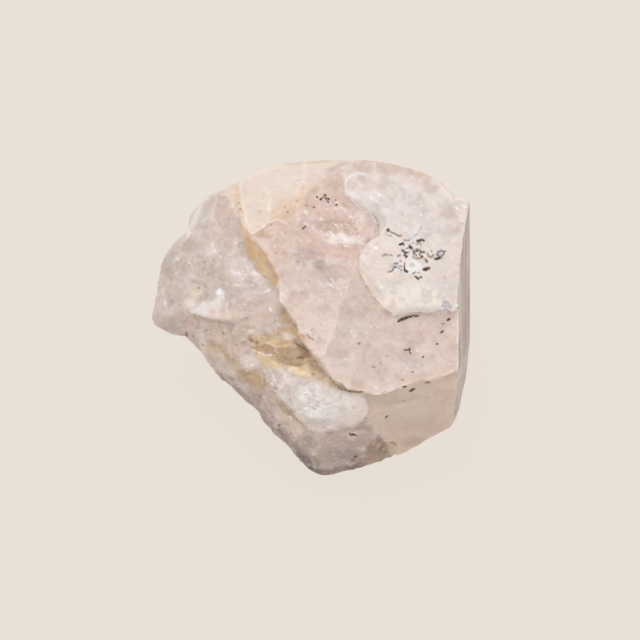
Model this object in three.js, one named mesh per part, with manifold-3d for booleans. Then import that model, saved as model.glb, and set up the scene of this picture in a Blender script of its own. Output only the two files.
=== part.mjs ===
// Rough morganite: one broken lump of pale pink beryl, modelled as a single solid.
//
// The lump is put together as a mineral dealer would describe it. Each broken block is a convex
// lump given by its corners, each raised sheet is an outline trimmed by the cleavage planes that
// form its top, and all of them are grown together into one body. Shell-shaped scoops are then
// knocked out of it, its long edges are split, and every corner is shifted a little, so that no
// broken face is perfectly flat. Only the growth face and the resting face stay flat.
//
// Corners are written as they appear when the broad front face is looked at square on: x to the
// right, y up, z towards the eye, in millimetres, from the middle of that face's outline. The
// finished stone is then leaned back onto its resting face, which is level.
import * as THREE from "three";
import { ConvexGeometry } from "three/addons/geometries/ConvexGeometry.js";
import { ImprovedNoise } from "three/addons/math/ImprovedNoise.js";
import { mergeVertices } from "three/addons/utils/BufferGeometryUtils.js";
import Module from "manifold-3d";

const wasm = await Module();
wasm.setup();

// Driving dimensions, in millimetres and degrees
const LEAN_BACK = 30; // from the front face's normal up to the resting face's normal
const REST_DEPTH = 10.4; // straight down from the outline's middle to the resting face
const MIDDLE_X = -0.98; // the middle of the footprint, seen from the outline's middle
const MIDDLE_Y = 2.26;
const LONGEST = 1.6; // longest and shortest edge of a facet
const SHORTEST = 0.4;
const THINNEST = 0.05; // facets thinner than this, for their width, are slivers
const SHIFT = 0.32; // how far broken faces stray from flat
const GROWTH_FACE_X = 15.0; // the flat growth face on the right, where its back edge is
const GROWTH_FACE_DEPTH = 3.4; // how far in front of the outline's middle that back edge lies
const ROOT_FROM = 3.2; // corners of a front block further forward than this are rooted
const ROOT_DEPTH = 0.5; // where their roots end, inside the mass behind
const SHEET_BACK = 1.8; // where the raised sheets start, behind the steps that they form
const SHEET_FRONT = 12; // beyond the cleavage planes that trim them
const REACH = 80; // a block larger than the stone, for trimming it

const lean = THREE.MathUtils.degToRad(LEAN_BACK);

// A closed geometry as a solid that can be joined and cut.
function solidOf(geometry) {
  const bare = geometry.clone();
  bare.deleteAttribute("normal");
  bare.deleteAttribute("uv");
  const merged = mergeVertices(bare, 1e-4);
  return new wasm.Manifold(
    new wasm.Mesh({
      numProp: 3,
      vertProperties: merged.attributes.position.array,
      triVerts: new Uint32Array(merged.index.array),
    }),
  );
}

// A solid back as a geometry.
function geometryOf(solid) {
  const mesh = solid.getMesh();
  return new THREE.BufferGeometry()
    .setAttribute("position", new THREE.BufferAttribute(mesh.vertProperties, 3))
    .setIndex(new THREE.BufferAttribute(mesh.triVerts, 1));
}

// A convex block with these corners.
function block(...corners) {
  return solidOf(new ConvexGeometry(corners.map((c) => new THREE.Vector3(...c))));
}

// A convex block on the front of the stone. Its front corners also reach straight back into the
// mass behind, so that no gap is left under the block.
function rooted(...corners) {
  const roots = corners.filter((c) => c[2] > ROOT_FROM).map(([x, y]) => [x, y, ROOT_DEPTH]);
  return block(...corners, ...roots);
}

// A sheet with this outline, from one depth to another.
function sheet(outline, back, front) {
  const shape = new THREE.Shape(outline.map((p) => new THREE.Vector2(...p)));
  const depth = front - back;
  return solidOf(
    new THREE.ExtrudeGeometry(shape, { depth, bevelEnabled: false }).translate(0, 0, back),
  );
}

// The solid without what lies outside the plane through three points, which run anticlockwise
// when they are seen from outside.
function cleave(solid, a, b, c) {
  const plane = new THREE.Plane().setFromCoplanarPoints(
    ...[a, b, c].map((p) => new THREE.Vector3(...p)),
  );
  const waste = new THREE.BoxGeometry(REACH, REACH, REACH)
    .translate(0, 0, REACH / 2)
    .applyQuaternion(
      new THREE.Quaternion().setFromUnitVectors(new THREE.Vector3(0, 0, 1), plane.normal),
    )
    .translate(...plane.coplanarPoint(new THREE.Vector3()).toArray());
  return solid.subtract(solidOf(waste));
}

// A ball, which leaves a shell-shaped hollow where it is cut out of the stone.
function ball(radius, x, y, z) {
  return solidOf(new THREE.IcosahedronGeometry(radius, 9).translate(x, y, z));
}

// The point of the resting face that lies straight behind (x, y), or deeper.
function underneath(x, y, deeper = 0) {
  return [x, y, -(REST_DEPTH + deeper) / Math.cos(lean) - y * Math.tan(lean)];
}

// The mass behind everything else, with the hidden back and the underside.
function heart() {
  const spare = 0.9; // reaches below the resting face, which is cut flat at the end
  return block(
    // rim, from the left over the top to the right and round underneath
    [-15.6, 4.6, -2.8], [-13.4, 8.6, -3.0], [-10.4, 12.2, -1.6], [-7.9, 13.9, -0.2],
    [-2.0, 15.6, 0.6], [5.6, 15.85, 1.6], [9.6, 14.7, 2.2], [13.2, 12.3, 2.4],
    [14.7, 11.6, 2.6], [15.4, 4.8, 3.0], [15.4, -1.6, 3.2], [14.9, -6.4, 2.6], [13.2, -10.6, 2.2],
    [8.0, -13.2, 0.4], [1.2, -15.2, -1.2], [-0.8, -14.9, -1.4], [-3.4, -12.1, -1.0],
    [-6.6, -8.2, -0.8], [-12.0, -2.3, -1.4],
    // front, at the depth of the seam between the left lobe and the pink sheet
    [-8.0, 9.0, 3.2], [-6.0, 3.0, 3.4], [-1.0, -6.0, 4.0], [8.0, 8.0, 5.0], [11.0, -5.0, 5.0],
    // hidden back
    [-10.6, 9.4, -9.6], [-3.4, 14.2, -10.4], [5.2, 14.6, -9.6], [11.8, 11.4, -6.6],
    [13.8, 2.0, -5.5], [-13.6, 1.6, -7.6], [-13.2, -0.5, -6.2], [-11.6, 11.4, -5.6],
    [0.6, 16.0, -4.4],
    // underside
    underneath(0.6, -13.8, spare), underneath(5.5, -12.8, spare),
    underneath(10.0, -9.0, spare), underneath(11.0, -2.0, spare),
    underneath(8.5, 5.5, spare), underneath(1.0, 8.5, spare),
    underneath(-6.5, 5.5, spare), underneath(-10.5, -0.5, spare),
    underneath(-8.0, -5.0, spare), underneath(-3.0, -11.0, spare),
  );
}

// The rounded lobe on the left, with the shoulder above it and the white ledge at its foot.
function leftLobe() {
  const lobe = rooted(
    [-15.4, 7.1, -1.2], [-16.0, 5.8, -1.2], [-16.1, 3.0, -0.4], [-16.6, 1.4, -1.0],
    [-16.9, 0.4, -1.2], [-16.8, -0.5, -1.2], [-16.1, -1.2, -1.1], [-15.2, -1.6, -1.0],
    [-14.0, -1.8, -0.6], [-13.3, -1.2, 1.4], [-14.4, 8.0, -1.0], [-13.5, 8.9, -0.4],
    [-12.4, 9.0, 1.6], [-14.6, 4.6, 2.6], [-14.8, 0.8, 2.2], [-11.6, 8.0, 3.4],
    [-10.2, 5.6, 5.0], [-9.6, 2.0, 5.6], [-12.6, 1.0, 3.8], [-8.2, 0.2, 5.2],
    [-7.4, 7.2, 4.3], [-5.8, 4.5, 4.6], [-3.2, 2.6, 5.0], [-2.2, -0.4, 5.2], [-4.3, -1.4, 4.6],
    [-14.8, 6.6, -6.4], [-15.5, 2.6, -5.8], [-15.2, 0.4, -4.4],
  );
  const shoulder = rooted(
    [-13.1, 10.3, -0.6], [-13.3, 9.2, -0.4], [-12.2, 11.8, -0.6], [-11.2, 12.7, -0.2],
    [-9.6, 13.4, 0.3], [-8.0, 14.2, -0.2], [-10.2, 11.9, 2.0], [-9.0, 11.0, 3.2],
    [-7.6, 8.9, 4.3], [-7.2, 7.0, 4.4], [-11.0, 8.2, 3.6], [-9.4, 5.4, 4.9],
    [-12.2, 8.6, 1.4], [-8.2, 12.6, 1.4], [-12.9, 8.9, -2.9], [-9.0, 9.0, -5.0],
  );
  const ledge = rooted(
    [-12.9, 0.75, 3.7], [-11.6, 0.3, 4.8], [-10.2, 0.05, 5.4], [-8.7, -0.1, 5.5],
    [-9.1, 0.8, 5.8], [-9.8, 1.7, 6.0], [-9.4, 2.6, 5.8], [-9.9, 3.3, 5.5], [-10.6, 2.2, 5.5],
    [-11.8, 1.4, 4.8],
  );
  return lobe.add(shoulder).add(ledge);
}

// The narrow amber face in the seam between the shoulder and the pink sheet.
function amberSeam() {
  return rooted(
    [-7.9, 9.4, 4.8], [-7.0, 9.0, 5.4], [-7.7, 7.0, 4.3], [-6.6, 5.0, 4.5],
    [-4.6, 2.8, 4.9], [-3.4, 3.0, 5.2], [-4.2, 5.4, 5.3], [-5.6, 7.6, 5.2],
    [-6.4, 8.6, 5.2],
  );
}

// The cream faces at the top left.
function crown() {
  const left = rooted(
    [-8.4, 13.9, 0.0], [-8.0, 14.2, -0.4], [-6.7, 15.0, -0.4], [-5.4, 15.4, -0.4],
    [-3.8, 15.75, -0.2], [-1.8, 16.0, 0.2], [-8.3, 13.0, 1.0], [-7.9, 11.0, 2.8],
    [-7.7, 9.2, 4.7], [-7.0, 8.5, 5.5], [-2.3, 11.4, 4.6], [-1.6, 12.6, 4.1],
    [-2.0, 15.2, 1.6], [-4.0, 10.0, -4.0],
  );
  const right = rooted(
    [-1.8, 16.05, 0.2], [-0.6, 16.15, 0.4], [2.6, 16.1, 0.8], [3.4, 15.9, 1.6],
    [-1.9, 15.4, 1.5], [-1.7, 12.6, 3.9], [-0.9, 12.2, 4.0], [1.0, 14.2, 3.1],
    [0.0, 10.0, -4.0],
  );
  return left.add(right);
}

// The broad pink sheet that forms the middle of the front.
function pinkSheet() {
  const outline = [
    [-6.9, 8.4], [-6.2, 7.4], [-5.3, 6.4], [-4.8, 5.2], [-4.2, 4.0], [-4.05, 2.9],
    [-3.9, 1.7], [-3.0, 0.5], [-2.3, -0.7], [-1.7, -2.0], [-0.7, -3.4], [0.2, -4.5],
    [0.9, -5.5], [2.0, -6.4], [3.2, -6.9], [4.7, -7.3], [5.9, -7.4], [7.2, -7.0],
    [8.2, -6.6], [9.3, -6.4], [10.6, -6.0], [12.2, -5.5], [13.6, -5.0], [16.0, -4.4],
    [16.0, 11.4], [13.3, 12.5], [10.5, 14.7], [7.2, 15.8], [3.8, 16.1], [2.4, 15.6],
    [1.3, 15.0], [0.2, 14.0], [-1.0, 13.1], [-1.7, 12.3], [-2.3, 11.4], [-3.5, 10.5],
    [-4.5, 9.7], [-5.8, 9.1],
  ];
  const fold = [[-6.9, 8.4, 5.7], [3.8, 5.2, 6.4]];
  let made = sheet(outline, SHEET_BACK, SHEET_FRONT);
  made = cleave(made, [-4.5, 2.5, 6.6], [3.0, -7.0, 7.3], [13.5, -4.5, 7.1]);
  made = cleave(made, fold[0], fold[1], [2.6, 16.1, 2.4]);
  made = cleave(made, [2.0, 1.6, 6.65], [-4.1, 2.4, 6.2], [0.4, -4.2, 6.95]);
  return made;
}

// The paler sheet that lies on the pink one, at the top right.
function paleSheet() {
  const outline = [
    [2.6, 15.2], [2.5, 13.4], [2.6, 12.6], [3.1, 11.9], [3.9, 11.2], [5.0, 10.5],
    [5.8, 9.6], [5.9, 8.6], [5.1, 8.0], [4.3, 7.3], [3.9, 6.1], [4.1, 4.8], [4.7, 3.6],
    [5.4, 2.5], [6.1, 1.5], [7.0, 0.7], [8.1, 0.45], [9.3, 0.65], [10.4, 0.5], [11.8, 0.7],
    [13.1, 0.8], [16.0, 1.3], [16.0, 11.2], [14.6, 12.0], [13.3, 12.4], [11.9, 13.7],
    [10.5, 14.7], [9.0, 15.2], [7.2, 15.75], [5.0, 16.1], [3.4, 16.0],
  ];
  let made = sheet(outline, SHEET_BACK, SHEET_FRONT);
  made = cleave(made, [3.9, 6.0, 6.9], [8.0, 0.6, 7.5], [13.4, 3.0, 7.1]);
  made = cleave(made, [2.5, 13.4, 3.8], [6.0, 9.0, 5.7], [14.8, 11.8, 3.84]);
  return made;
}

// The white crystalline block under the crevice.
function whiteBlock() {
  return rooted(
    [-5.6, -3.9, 4.6], [-3.4, -4.2, 5.3], [-0.8, -5.4, 5.8], [1.6, -6.6, 6.2],
    [3.4, -7.3, 6.3], [4.9, -7.2, 6.2], [5.0, -8.7, 6.0], [4.5, -9.6, 5.7],
    [3.2, -10.4, 5.4], [1.4, -10.9, 5.1], [-0.4, -11.1, 4.7], [-1.4, -10.4, 4.7],
    [-2.6, -9.2, 4.8], [-4.0, -7.4, 4.7], [-5.6, -5.6, 4.4], [-1.8, -6.9, 5.8],
    [1.9, -8.4, 6.3],
  );
}

// The dirty shelf inside the crevice, between the lobe and the white block.
function creviceShelf() {
  return rooted(
    [-8.2, -2.2, 3.7], [-7.2, -1.0, 4.7], [-5.0, -1.2, 5.0], [-2.4, -0.6, 5.4],
    [-1.2, -2.2, 5.4], [-0.1, -3.9, 5.5], [0.9, -5.3, 5.6], [-0.6, -5.2, 5.4],
    [-2.4, -4.9, 5.0], [-6.4, -3.9, 4.2],
  );
}

// The face that falls away from the lobe's foot to the lower left edge.
function lowerLeft() {
  return rooted(
    [-13.3, -2.0, -0.6], [-12.5, -2.8, -0.8], [-11.7, -3.9, -0.9], [-10.7, -5.1, -0.9],
    [-9.9, -5.9, -0.8], [-8.6, -6.8, -0.6], [-7.5, -7.7, -0.6], [-5.8, -10.1, -0.8],
    [-4.6, -11.3, -0.8], [-3.3, -12.5, -0.8],
    [-12.4, 0.0, 2.4], [-8.5, -0.6, 4.2], [-8.0, -3.2, 3.9], [-11.4, -2.6, 2.0],
    [-5.4, -5.6, 4.1], [-7.0, -6.4, 2.2], [-2.7, -9.4, 4.2], [-4.4, -9.6, 1.8],
    [-0.8, -11.0, 4.3], [-1.8, -12.6, 1.6], [-2.1, -13.6, -0.6],
    [-6.0, -2.0, 4.4], [-4.0, -3.0, -3.0],
  );
}

// The toe at the bottom, under the white block.
function toe() {
  return rooted(
    [-3.3, -12.5, -0.8], [-2.0, -13.9, -1.0], [-1.0, -15.3, -1.2], [0.1, -15.7, -1.4],
    [1.3, -15.7, -1.4], [2.7, -15.3, -1.0], [4.4, -14.85, -0.6], [6.1, -14.3, -0.2],
    [7.3, -13.8, 0.2], [-2.3, -10.4, 3.9], [-0.4, -11.3, 4.3], [1.6, -11.1, 4.6],
    [3.4, -10.5, 5.0], [4.6, -9.6, 5.3], [5.0, -8.6, 5.5], [-2.9, -12.2, 1.4], [-1.6, -13.6, 1.0],
    [0.4, -14.4, 1.0], [4.0, -13.6, 1.8], [6.6, -13.0, 1.6], [6.0, -11.2, 3.6],
    [2.0, -10.0, -3.0],
  );
}

// The smooth face under the pink sheet, at the lower right.
function lowerRight() {
  return rooted(
    [4.2, -7.0, 6.4], [4.6, -6.4, 6.8], [13.7, -4.0, 6.7], [13.6, -7.5, 5.2], [13.4, -9.4, 3.7],
    [13.1, -10.8, 2.6], [12.6, -11.1, 2.2], [10.6, -12.2, 1.4], [9.4, -12.95, 1.0],
    [7.9, -13.65, 0.6], [7.0, -13.8, 0.6], [5.9, -11.5, 3.4], [4.7, -9.8, 5.2],
    [4.4, -8.6, 5.9], [15.2, -4.0, 3.0], [14.6, -8.1, 2.4], [9.0, -6.0, -3.0],
  );
}

// The hollows that blows have knocked out of the lump: a radius, and a centre beyond the surface.
function scoops() {
  return [
    ball(6.0, -16.0, -9.0, 3.4), // under the nose of the lobe
    ball(1.9, -7.7, -10.2, -0.6), // notch in the lower left edge
    ball(14.0, 12.4, -23.6, 10.0), // under the lower right face
    ball(13.0, -20.6, 12.6, -12.6), // hidden back, left
    ball(17.0, 3.0, 30.4, -12.0), // hidden back, top
    ball(12.0, 23.0, 12.4, -10.4), // hidden back, right
    ball(9.0, 19.0, -9.6, -6.6), // under the growth face
    ball(9.6, -11.6, -14.6, -9.0), // under the lower left edge
  ];
}

// The flat growth face on the right, the narrow faces that close it below, and the broken face
// that falls away behind them.
function trimRightSide(stone) {
  const [x, z] = [GROWTH_FACE_X, GROWTH_FACE_DEPTH];
  let made = cleave(stone, [x, 5, z], [x - 1.35, 0, z + 3.8], [x, -5, z]);
  made = cleave(made, [x, -2, z], [x - 1.35, -5, z + 3.7], [x - 1.15, -8.2, z - 0.6]);
  made = cleave(made, [x - 1.15, -8.1, z], [x - 2.35, -8.6, z + 3], [x - 2.15, -10.8, z]);
  return cleave(made, [x, 5, z], [x, -5, z], [x - 1.6, 0, z - 9.4]);
}

// The level face that the stone rests on.
function trimUnderneath(stone) {
  return cleave(stone, underneath(0, 0), underneath(0, 1), underneath(1, 0));
}

// Three overlapping waves of soft noise, finer and weaker each time.
const noise = new ImprovedNoise();
function unevenness(x, y, z) {
  let sum = 0;
  for (let octave = 0; octave < 3; octave++) {
    const pitch = 0.17 * 2.1 ** octave;
    sum += noise.noise(x * pitch, y * pitch, z * pitch) / 2 ** octave;
  }
  return sum;
}

// A mesh of facets whose edges can be halved and turned: points, and three points for each facet.
class Facets {
  constructor(geometry) {
    const place = geometry.attributes.position;
    const index = geometry.index.array;
    this.points = [];
    for (let i = 0; i < place.count; i++) {
      this.points.push(new THREE.Vector3().fromBufferAttribute(place, i));
    }
    this.faces = [];
    for (let i = 0; i < index.length; i += 3) {
      this.faces.push([index[i], index[i + 1], index[i + 2]]);
    }
  }

  // Which face has the edge from a to b, and its third corner.
  sides() {
    const sides = new Map();
    this.faces.forEach((face, index) => {
      for (let side = 0; side < 3; side++) {
        const key = `${face[side]} ${face[(side + 1) % 3]}`;
        sides.set(key, { index, across: face[(side + 2) % 3] });
      }
    });
    return sides;
  }

  normal(a, b, c) {
    const [p, q, r] = [this.points[a], this.points[b], this.points[c]];
    return q.clone().sub(p).cross(r.clone().sub(p)).divideScalar(q.distanceToSquared(r) + 1e-9);
  }

  angle(at, a, b) {
    const p = this.points[at];
    return this.points[a].clone().sub(p).angleTo(this.points[b].clone().sub(p));
  }

  // Whether the two facets on the edge a-b lie in one plane and are better divided the other way.
  shouldTurn(a, b, c, d) {
    const before = [this.normal(a, b, c), this.normal(b, a, d)];
    const after = [this.normal(a, d, c), this.normal(d, b, c)];
    const up = before[0].clone().add(before[1]).normalize();
    const flat = before.every((n) => n.length() < 1e-3 || n.normalize().dot(up) > 0.9995);
    const sound = after.every((n) => n.length() > 1e-3 && n.normalize().dot(up) > 0.999);
    return flat && sound && this.angle(c, a, b) + this.angle(d, a, b) > Math.PI + 1e-3;
  }

  // One round of turning edges, which gives how many were turned.
  turnEdges() {
    const sides = this.sides();
    const busy = new Set();
    let turned = 0;
    for (const [key, near] of sides) {
      const [a, b] = key.split(" ").map(Number);
      const far = sides.get(`${b} ${a}`);
      if (a > b || busy.has(near.index) || busy.has(far.index)) continue;
      const [c, d] = [near.across, far.across];
      if (sides.has(`${c} ${d}`) || sides.has(`${d} ${c}`)) continue;
      if (!this.shouldTurn(a, b, c, d)) continue;
      this.faces[near.index] = [a, d, c];
      this.faces[far.index] = [d, b, c];
      for (const side of [[a, c], [c, a], [a, d], [d, a], [b, c], [c, b], [b, d], [d, b]]) {
        const beside = sides.get(side.join(" "));
        if (beside) busy.add(beside.index);
      }
      turned += 1;
    }
    return turned;
  }

  // One round of halving edges longer than this, longest first, which gives how many there were.
  halveEdges(longest) {
    const sides = this.sides();
    const long = [];
    for (const key of sides.keys()) {
      const [a, b] = key.split(" ").map(Number);
      const length = this.points[a].distanceTo(this.points[b]);
      if (a < b && length > longest) long.push({ a, b, length });
    }
    long.sort((p, q) => q.length - p.length);
    const busy = new Set();
    for (const { a, b } of long) {
      const [near, far] = [sides.get(`${a} ${b}`), sides.get(`${b} ${a}`)];
      if (busy.has(near.index) || busy.has(far.index)) continue;
      const middle = this.points.length;
      this.points.push(this.points[a].clone().lerp(this.points[b], 0.5));
      this.faces[near.index] = [a, middle, near.across];
      this.faces[far.index] = [b, middle, far.across];
      this.faces.push([middle, b, near.across], [middle, a, far.across]);
      busy.add(near.index).add(far.index);
    }
    return long.length;
  }

  // The faces around each point.
  fans() {
    const fans = this.points.map(() => []);
    this.faces.forEach((face, index) => face.forEach((corner) => fans[corner].push(index)));
    return fans;
  }

  // Whether point b can move onto its neighbour a and leave the surface sound and its shape alone.
  canShrink(a, b, fans) {
    const ringOf = (at) => new Set(fans[at].flatMap((index) => this.faces[index]));
    const shared = [...ringOf(a)].filter((corner) => ringOf(b).has(corner));
    if (shared.length !== 4) return false;
    return fans[b].every((index) => {
      const face = this.faces[index];
      if (face.includes(a)) return true;
      const before = this.normal(...face);
      const after = this.normal(...face.map((corner) => (corner === b ? a : corner)));
      const wasSliver = before.length() < THINNEST;
      const sameWay = before.normalize().dot(after.clone().normalize()) > 0.9;
      return after.length() > THINNEST && (wasSliver || sameWay);
    });
  }

  // One round of shrinking edges shorter than this to a point, which gives how many there were.
  shrinkEdges(shortest) {
    const fans = this.fans();
    const busy = new Set();
    let shrunk = 0;
    for (const key of this.sides().keys()) {
      const [a, b] = key.split(" ").map(Number);
      if (this.points[a].distanceTo(this.points[b]) > shortest) continue;
      if (busy.has(a) || busy.has(b) || !this.canShrink(a, b, fans)) continue;
      const around = [...fans[a], ...fans[b]];
      around.forEach((index) => this.faces[index].forEach((corner) => busy.add(corner)));
      for (const index of fans[b]) {
        const face = this.faces[index];
        const moved = face.map((corner) => (corner === b ? a : corner));
        this.faces[index] = face.includes(a) ? null : moved;
      }
      shrunk += 1;
    }
    this.faces = this.faces.filter((face) => face !== null);
    return shrunk;
  }

  geometry() {
    const index = this.faces.flat();
    return new THREE.BufferGeometry().setFromPoints(this.points).setIndex(index);
  }
}

// The stone with its long edges split and every corner shifted a little.
function roughen(stone) {
  const facets = new Facets(geometryOf(stone));
  while (facets.shrinkEdges(SHORTEST) > 0);
  do {
    while (facets.turnEdges() > 0);
  } while (facets.halveEdges(LONGEST) > 0);
  for (const point of facets.points) {
    const { x, y, z } = point;
    point.x += SHIFT * unevenness(x + 31, y, z);
    point.y += SHIFT * unevenness(x, y + 57, z);
    point.z += SHIFT * unevenness(x, y, z + 83);
  }
  return solidOf(facets.geometry());
}

const parts = [
  leftLobe(), amberSeam(), crown(), pinkSheet(), paleSheet(), whiteBlock(), creviceShelf(),
  lowerLeft(), toe(), lowerRight(),
];
let stone = parts.reduce((made, next) => made.add(next), heart());
stone = scoops().reduce((made, next) => made.subtract(next), stone);
stone = roughen(stone);
stone = trimUnderneath(trimRightSide(stone));

const morganite = new THREE.Mesh(
  geometryOf(stone),
  new THREE.MeshStandardMaterial({ color: 0xdcc5bb, roughness: 0.35, metalness: 0 }),
);
morganite.name = "morganite";
morganite.rotation.x = lean;
morganite.position.set(-MIDDLE_X, -MIDDLE_Y, REST_DEPTH);

const group = new THREE.Group();
group.add(morganite);

export default group;
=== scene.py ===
# %% [markdown]
# # A rough morganite stone
# Morganite is the pale pink kind of beryl. This lesson dresses one broken lump of it, about three
# centimetres across. The plain solid of the lump comes from a CAD model, and Blender gives it the
# fine fracture surface, the cloudy colour and the small dark inclusions that a dealer would see.

# %% The frame that the looks are built around
import math

import bmesh
import bpy
import numpy as np
from mathutils import Euler, Matrix, Vector, noise


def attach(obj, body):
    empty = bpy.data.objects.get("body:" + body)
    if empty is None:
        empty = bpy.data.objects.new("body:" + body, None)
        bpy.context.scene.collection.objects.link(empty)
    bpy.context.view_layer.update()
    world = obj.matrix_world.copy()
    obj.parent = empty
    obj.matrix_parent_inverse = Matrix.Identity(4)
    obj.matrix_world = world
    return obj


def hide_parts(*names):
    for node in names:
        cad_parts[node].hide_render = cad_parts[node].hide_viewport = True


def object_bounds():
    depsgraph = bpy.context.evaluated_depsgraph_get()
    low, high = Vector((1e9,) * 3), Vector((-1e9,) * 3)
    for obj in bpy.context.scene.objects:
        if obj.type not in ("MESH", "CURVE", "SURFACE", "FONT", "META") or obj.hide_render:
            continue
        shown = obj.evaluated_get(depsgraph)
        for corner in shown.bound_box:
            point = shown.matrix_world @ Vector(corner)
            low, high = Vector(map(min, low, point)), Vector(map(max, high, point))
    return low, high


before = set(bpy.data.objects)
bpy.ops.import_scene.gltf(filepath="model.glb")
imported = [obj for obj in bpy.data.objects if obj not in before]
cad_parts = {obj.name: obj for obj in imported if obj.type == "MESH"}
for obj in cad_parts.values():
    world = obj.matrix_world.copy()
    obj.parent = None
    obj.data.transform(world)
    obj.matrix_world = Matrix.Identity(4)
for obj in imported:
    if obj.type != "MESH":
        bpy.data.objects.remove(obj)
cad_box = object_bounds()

MM = 0.001  # one millimetre in Blender's metres
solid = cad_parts["morganite"]
print("solid:", len(solid.data.polygons), "facets")
print("its box:", [round(side / MM, 1) for side in cad_box[1] - cad_box[0]], "mm")

# %% [markdown]
# ## Square on to the front face
# The stone rests on its level underside, so its broad front face leans back. A carver would turn
# the stone in the hand and work square on to that face. Here a matrix does the turning: it takes a
# place in the scene to x across the face, y up it and z out of it, in millimetres. Every outline
# and every marking below is written in those hand-held terms.

# %% Turning between the scene and the front face
LEAN = math.radians(30)  # how far the front face leans back from upright
MIDDLE = Vector((0.98, -2.26, 10.4))  # the middle of the face's outline, seen from the footprint's middle

face_to_scene = Matrix.Scale(MM, 4) @ Matrix.Translation(MIDDLE) @ Matrix.Rotation(LEAN, 4, "X")
scene_to_face = face_to_scene.inverted()


def turned(points, matrix):
    """An array of points, taken through a matrix."""
    m = np.array(matrix)
    return points @ m[:3, :3].T + m[:3, 3]


def on_face(x, y, z):
    """The scene's place for a place on the front face."""
    return face_to_scene @ Vector((x, y, z))


print("middle of the face:", [round(c / MM, 2) for c in on_face(0, 0, 0)], "mm")

# %% [markdown]
# ## Camera
# A stone this small is usually taken from well away with a long lens, which keeps its outline
# true. The camera looks straight at the front face, so it looks down on the stone at 60 degrees.

# %% A long lens, square on to the front face
LENS = 250  # millimetres
SENSOR = 36
VIEW_WIDTH = 64  # millimetres across the picture, where the stone's outline lies
OUTLINE_DEPTH = 2.0  # how far out of the face's middle that outline lies, in millimetres


def add_object(name, data):
    """A new object in the scene."""
    piece = bpy.data.objects.new(name, data)
    bpy.context.collection.objects.link(piece)
    return piece


camera = add_object("camera", bpy.data.cameras.new("camera"))
bpy.context.scene.camera = camera
camera.data.lens = LENS
camera.data.sensor_width = SENSOR
camera.data.clip_start = 0.01
camera.data.clip_end = 10
camera.location = on_face(0, 0, OUTLINE_DEPTH + VIEW_WIDTH * LENS / SENSOR)
camera.rotation_euler = Euler((LEAN, 0, 0))
print("camera at", [round(c, 3) for c in camera.location])

# %% [markdown]
# ## Light and floor
# One wide, soft light hangs above and a little behind the stone, as a window or a softbox would.
# The faces that look up are bright and the lower ones fall into gentle shade. The stone lies on a
# light table: a plain pale floor that glows evenly, so that hardly any shadow is seen on it.

# %% A soft overhead light, a pale surround and a glowing floor
WARM_WHITE = (1.0, 0.985, 0.965)
SOFTBOX_PLACE = (-0.4, 0.7, 1.9)  # metres: high up, to the left and a little behind the stone
SOFTBOX_SIZE = 1.3
SOFTBOX_WATTS = 14
SURROUND = 0.81  # strength of the even light from all sides
GLOW = 0.935  # strength of the light table


def srgb(code):
    """A colour code such as "#d4c4ba", as the linear values that shaders use."""
    channels = np.array([int(code[i : i + 2], 16) for i in (1, 3, 5)]) / 255
    return np.where(channels <= 0.04045, channels / 12.92, ((channels + 0.055) / 1.055) ** 2.4)


def set_inputs(node, values):
    """Gives a node's own sockets these values."""
    for socket, value in values.items():
        node.inputs[socket].default_value = value


softbox = add_object("softbox", bpy.data.lights.new("softbox", "AREA"))
softbox.data.size = SOFTBOX_SIZE
softbox.data.energy = SOFTBOX_WATTS
softbox.data.color = WARM_WHITE
softbox.location = SOFTBOX_PLACE
softbox.rotation_euler = softbox.location.to_track_quat("Z", "Y").to_euler()

surround = bpy.data.worlds.new("surround")
bpy.context.scene.world = surround
surround.use_nodes = True
set_inputs(surround.node_tree.nodes["Background"], {"Color": (*WARM_WHITE, 1), "Strength": SURROUND})
bpy.context.scene.view_settings.view_transform = "Standard"

bm = bmesh.new()
bmesh.ops.create_grid(bm, x_segments=1, y_segments=1, size=3)
floor_mesh = bpy.data.meshes.new("floor")
bm.to_mesh(floor_mesh)
bm.free()
floor = add_object("floor", floor_mesh)

light_table = bpy.data.materials.new("light_table")
light_table.use_nodes = True
set_inputs(light_table.node_tree.nodes["Principled BSDF"], {
    "Base Color": (*srgb("#3e3c3a"), 1), "Roughness": 1.0, "Specular IOR Level": 0.0,
    "Emission Color": (*srgb("#eae1d8"), 1), "Emission Strength": GLOW,
})
floor_mesh.materials.append(light_table)
print("softbox at", [round(c, 2) for c in softbox.location], "and a floor glowing at", GLOW)

# %% [markdown]
# ## The body of the stone
# The CAD solid has the right size and the right large forms, but its facets are far too big for a
# close view. A copy of it is merged, and a voxel remesh then gives it an even skin of very small
# quads. A few rounds of smoothing melt the old facets together and leave the large edges standing.

# %% A fine, even skin over the solid
VOXEL = 0.165  # millimetres
MELTING = 4  # rounds of smoothing

bm = bmesh.new()
bm.from_mesh(solid.data)
bmesh.ops.remove_doubles(bm, verts=bm.verts, dist=1e-7)
stone_mesh = bpy.data.meshes.new("stone")
bm.to_mesh(stone_mesh)
bm.free()
stone = add_object("stone", stone_mesh)


def apply_modifiers(piece):
    """Makes a piece's modifiers part of its mesh."""
    shaped = piece.evaluated_get(bpy.context.evaluated_depsgraph_get())
    old = piece.data
    piece.data = bpy.data.meshes.new_from_object(shaped)
    piece.modifiers.clear()
    bpy.data.meshes.remove(old)


def even_out(bm, verts, rounds=1):
    """Moves each of these points towards the middle of its neighbours."""
    axes = {"use_axis_x": True, "use_axis_y": True, "use_axis_z": True}
    for _ in range(rounds):
        bmesh.ops.smooth_vert(bm, verts=verts, factor=0.5, **axes)


remesh = stone.modifiers.new("fine skin", "REMESH")
remesh.mode = "VOXEL"
remesh.voxel_size = VOXEL * MM
apply_modifiers(stone)

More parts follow.
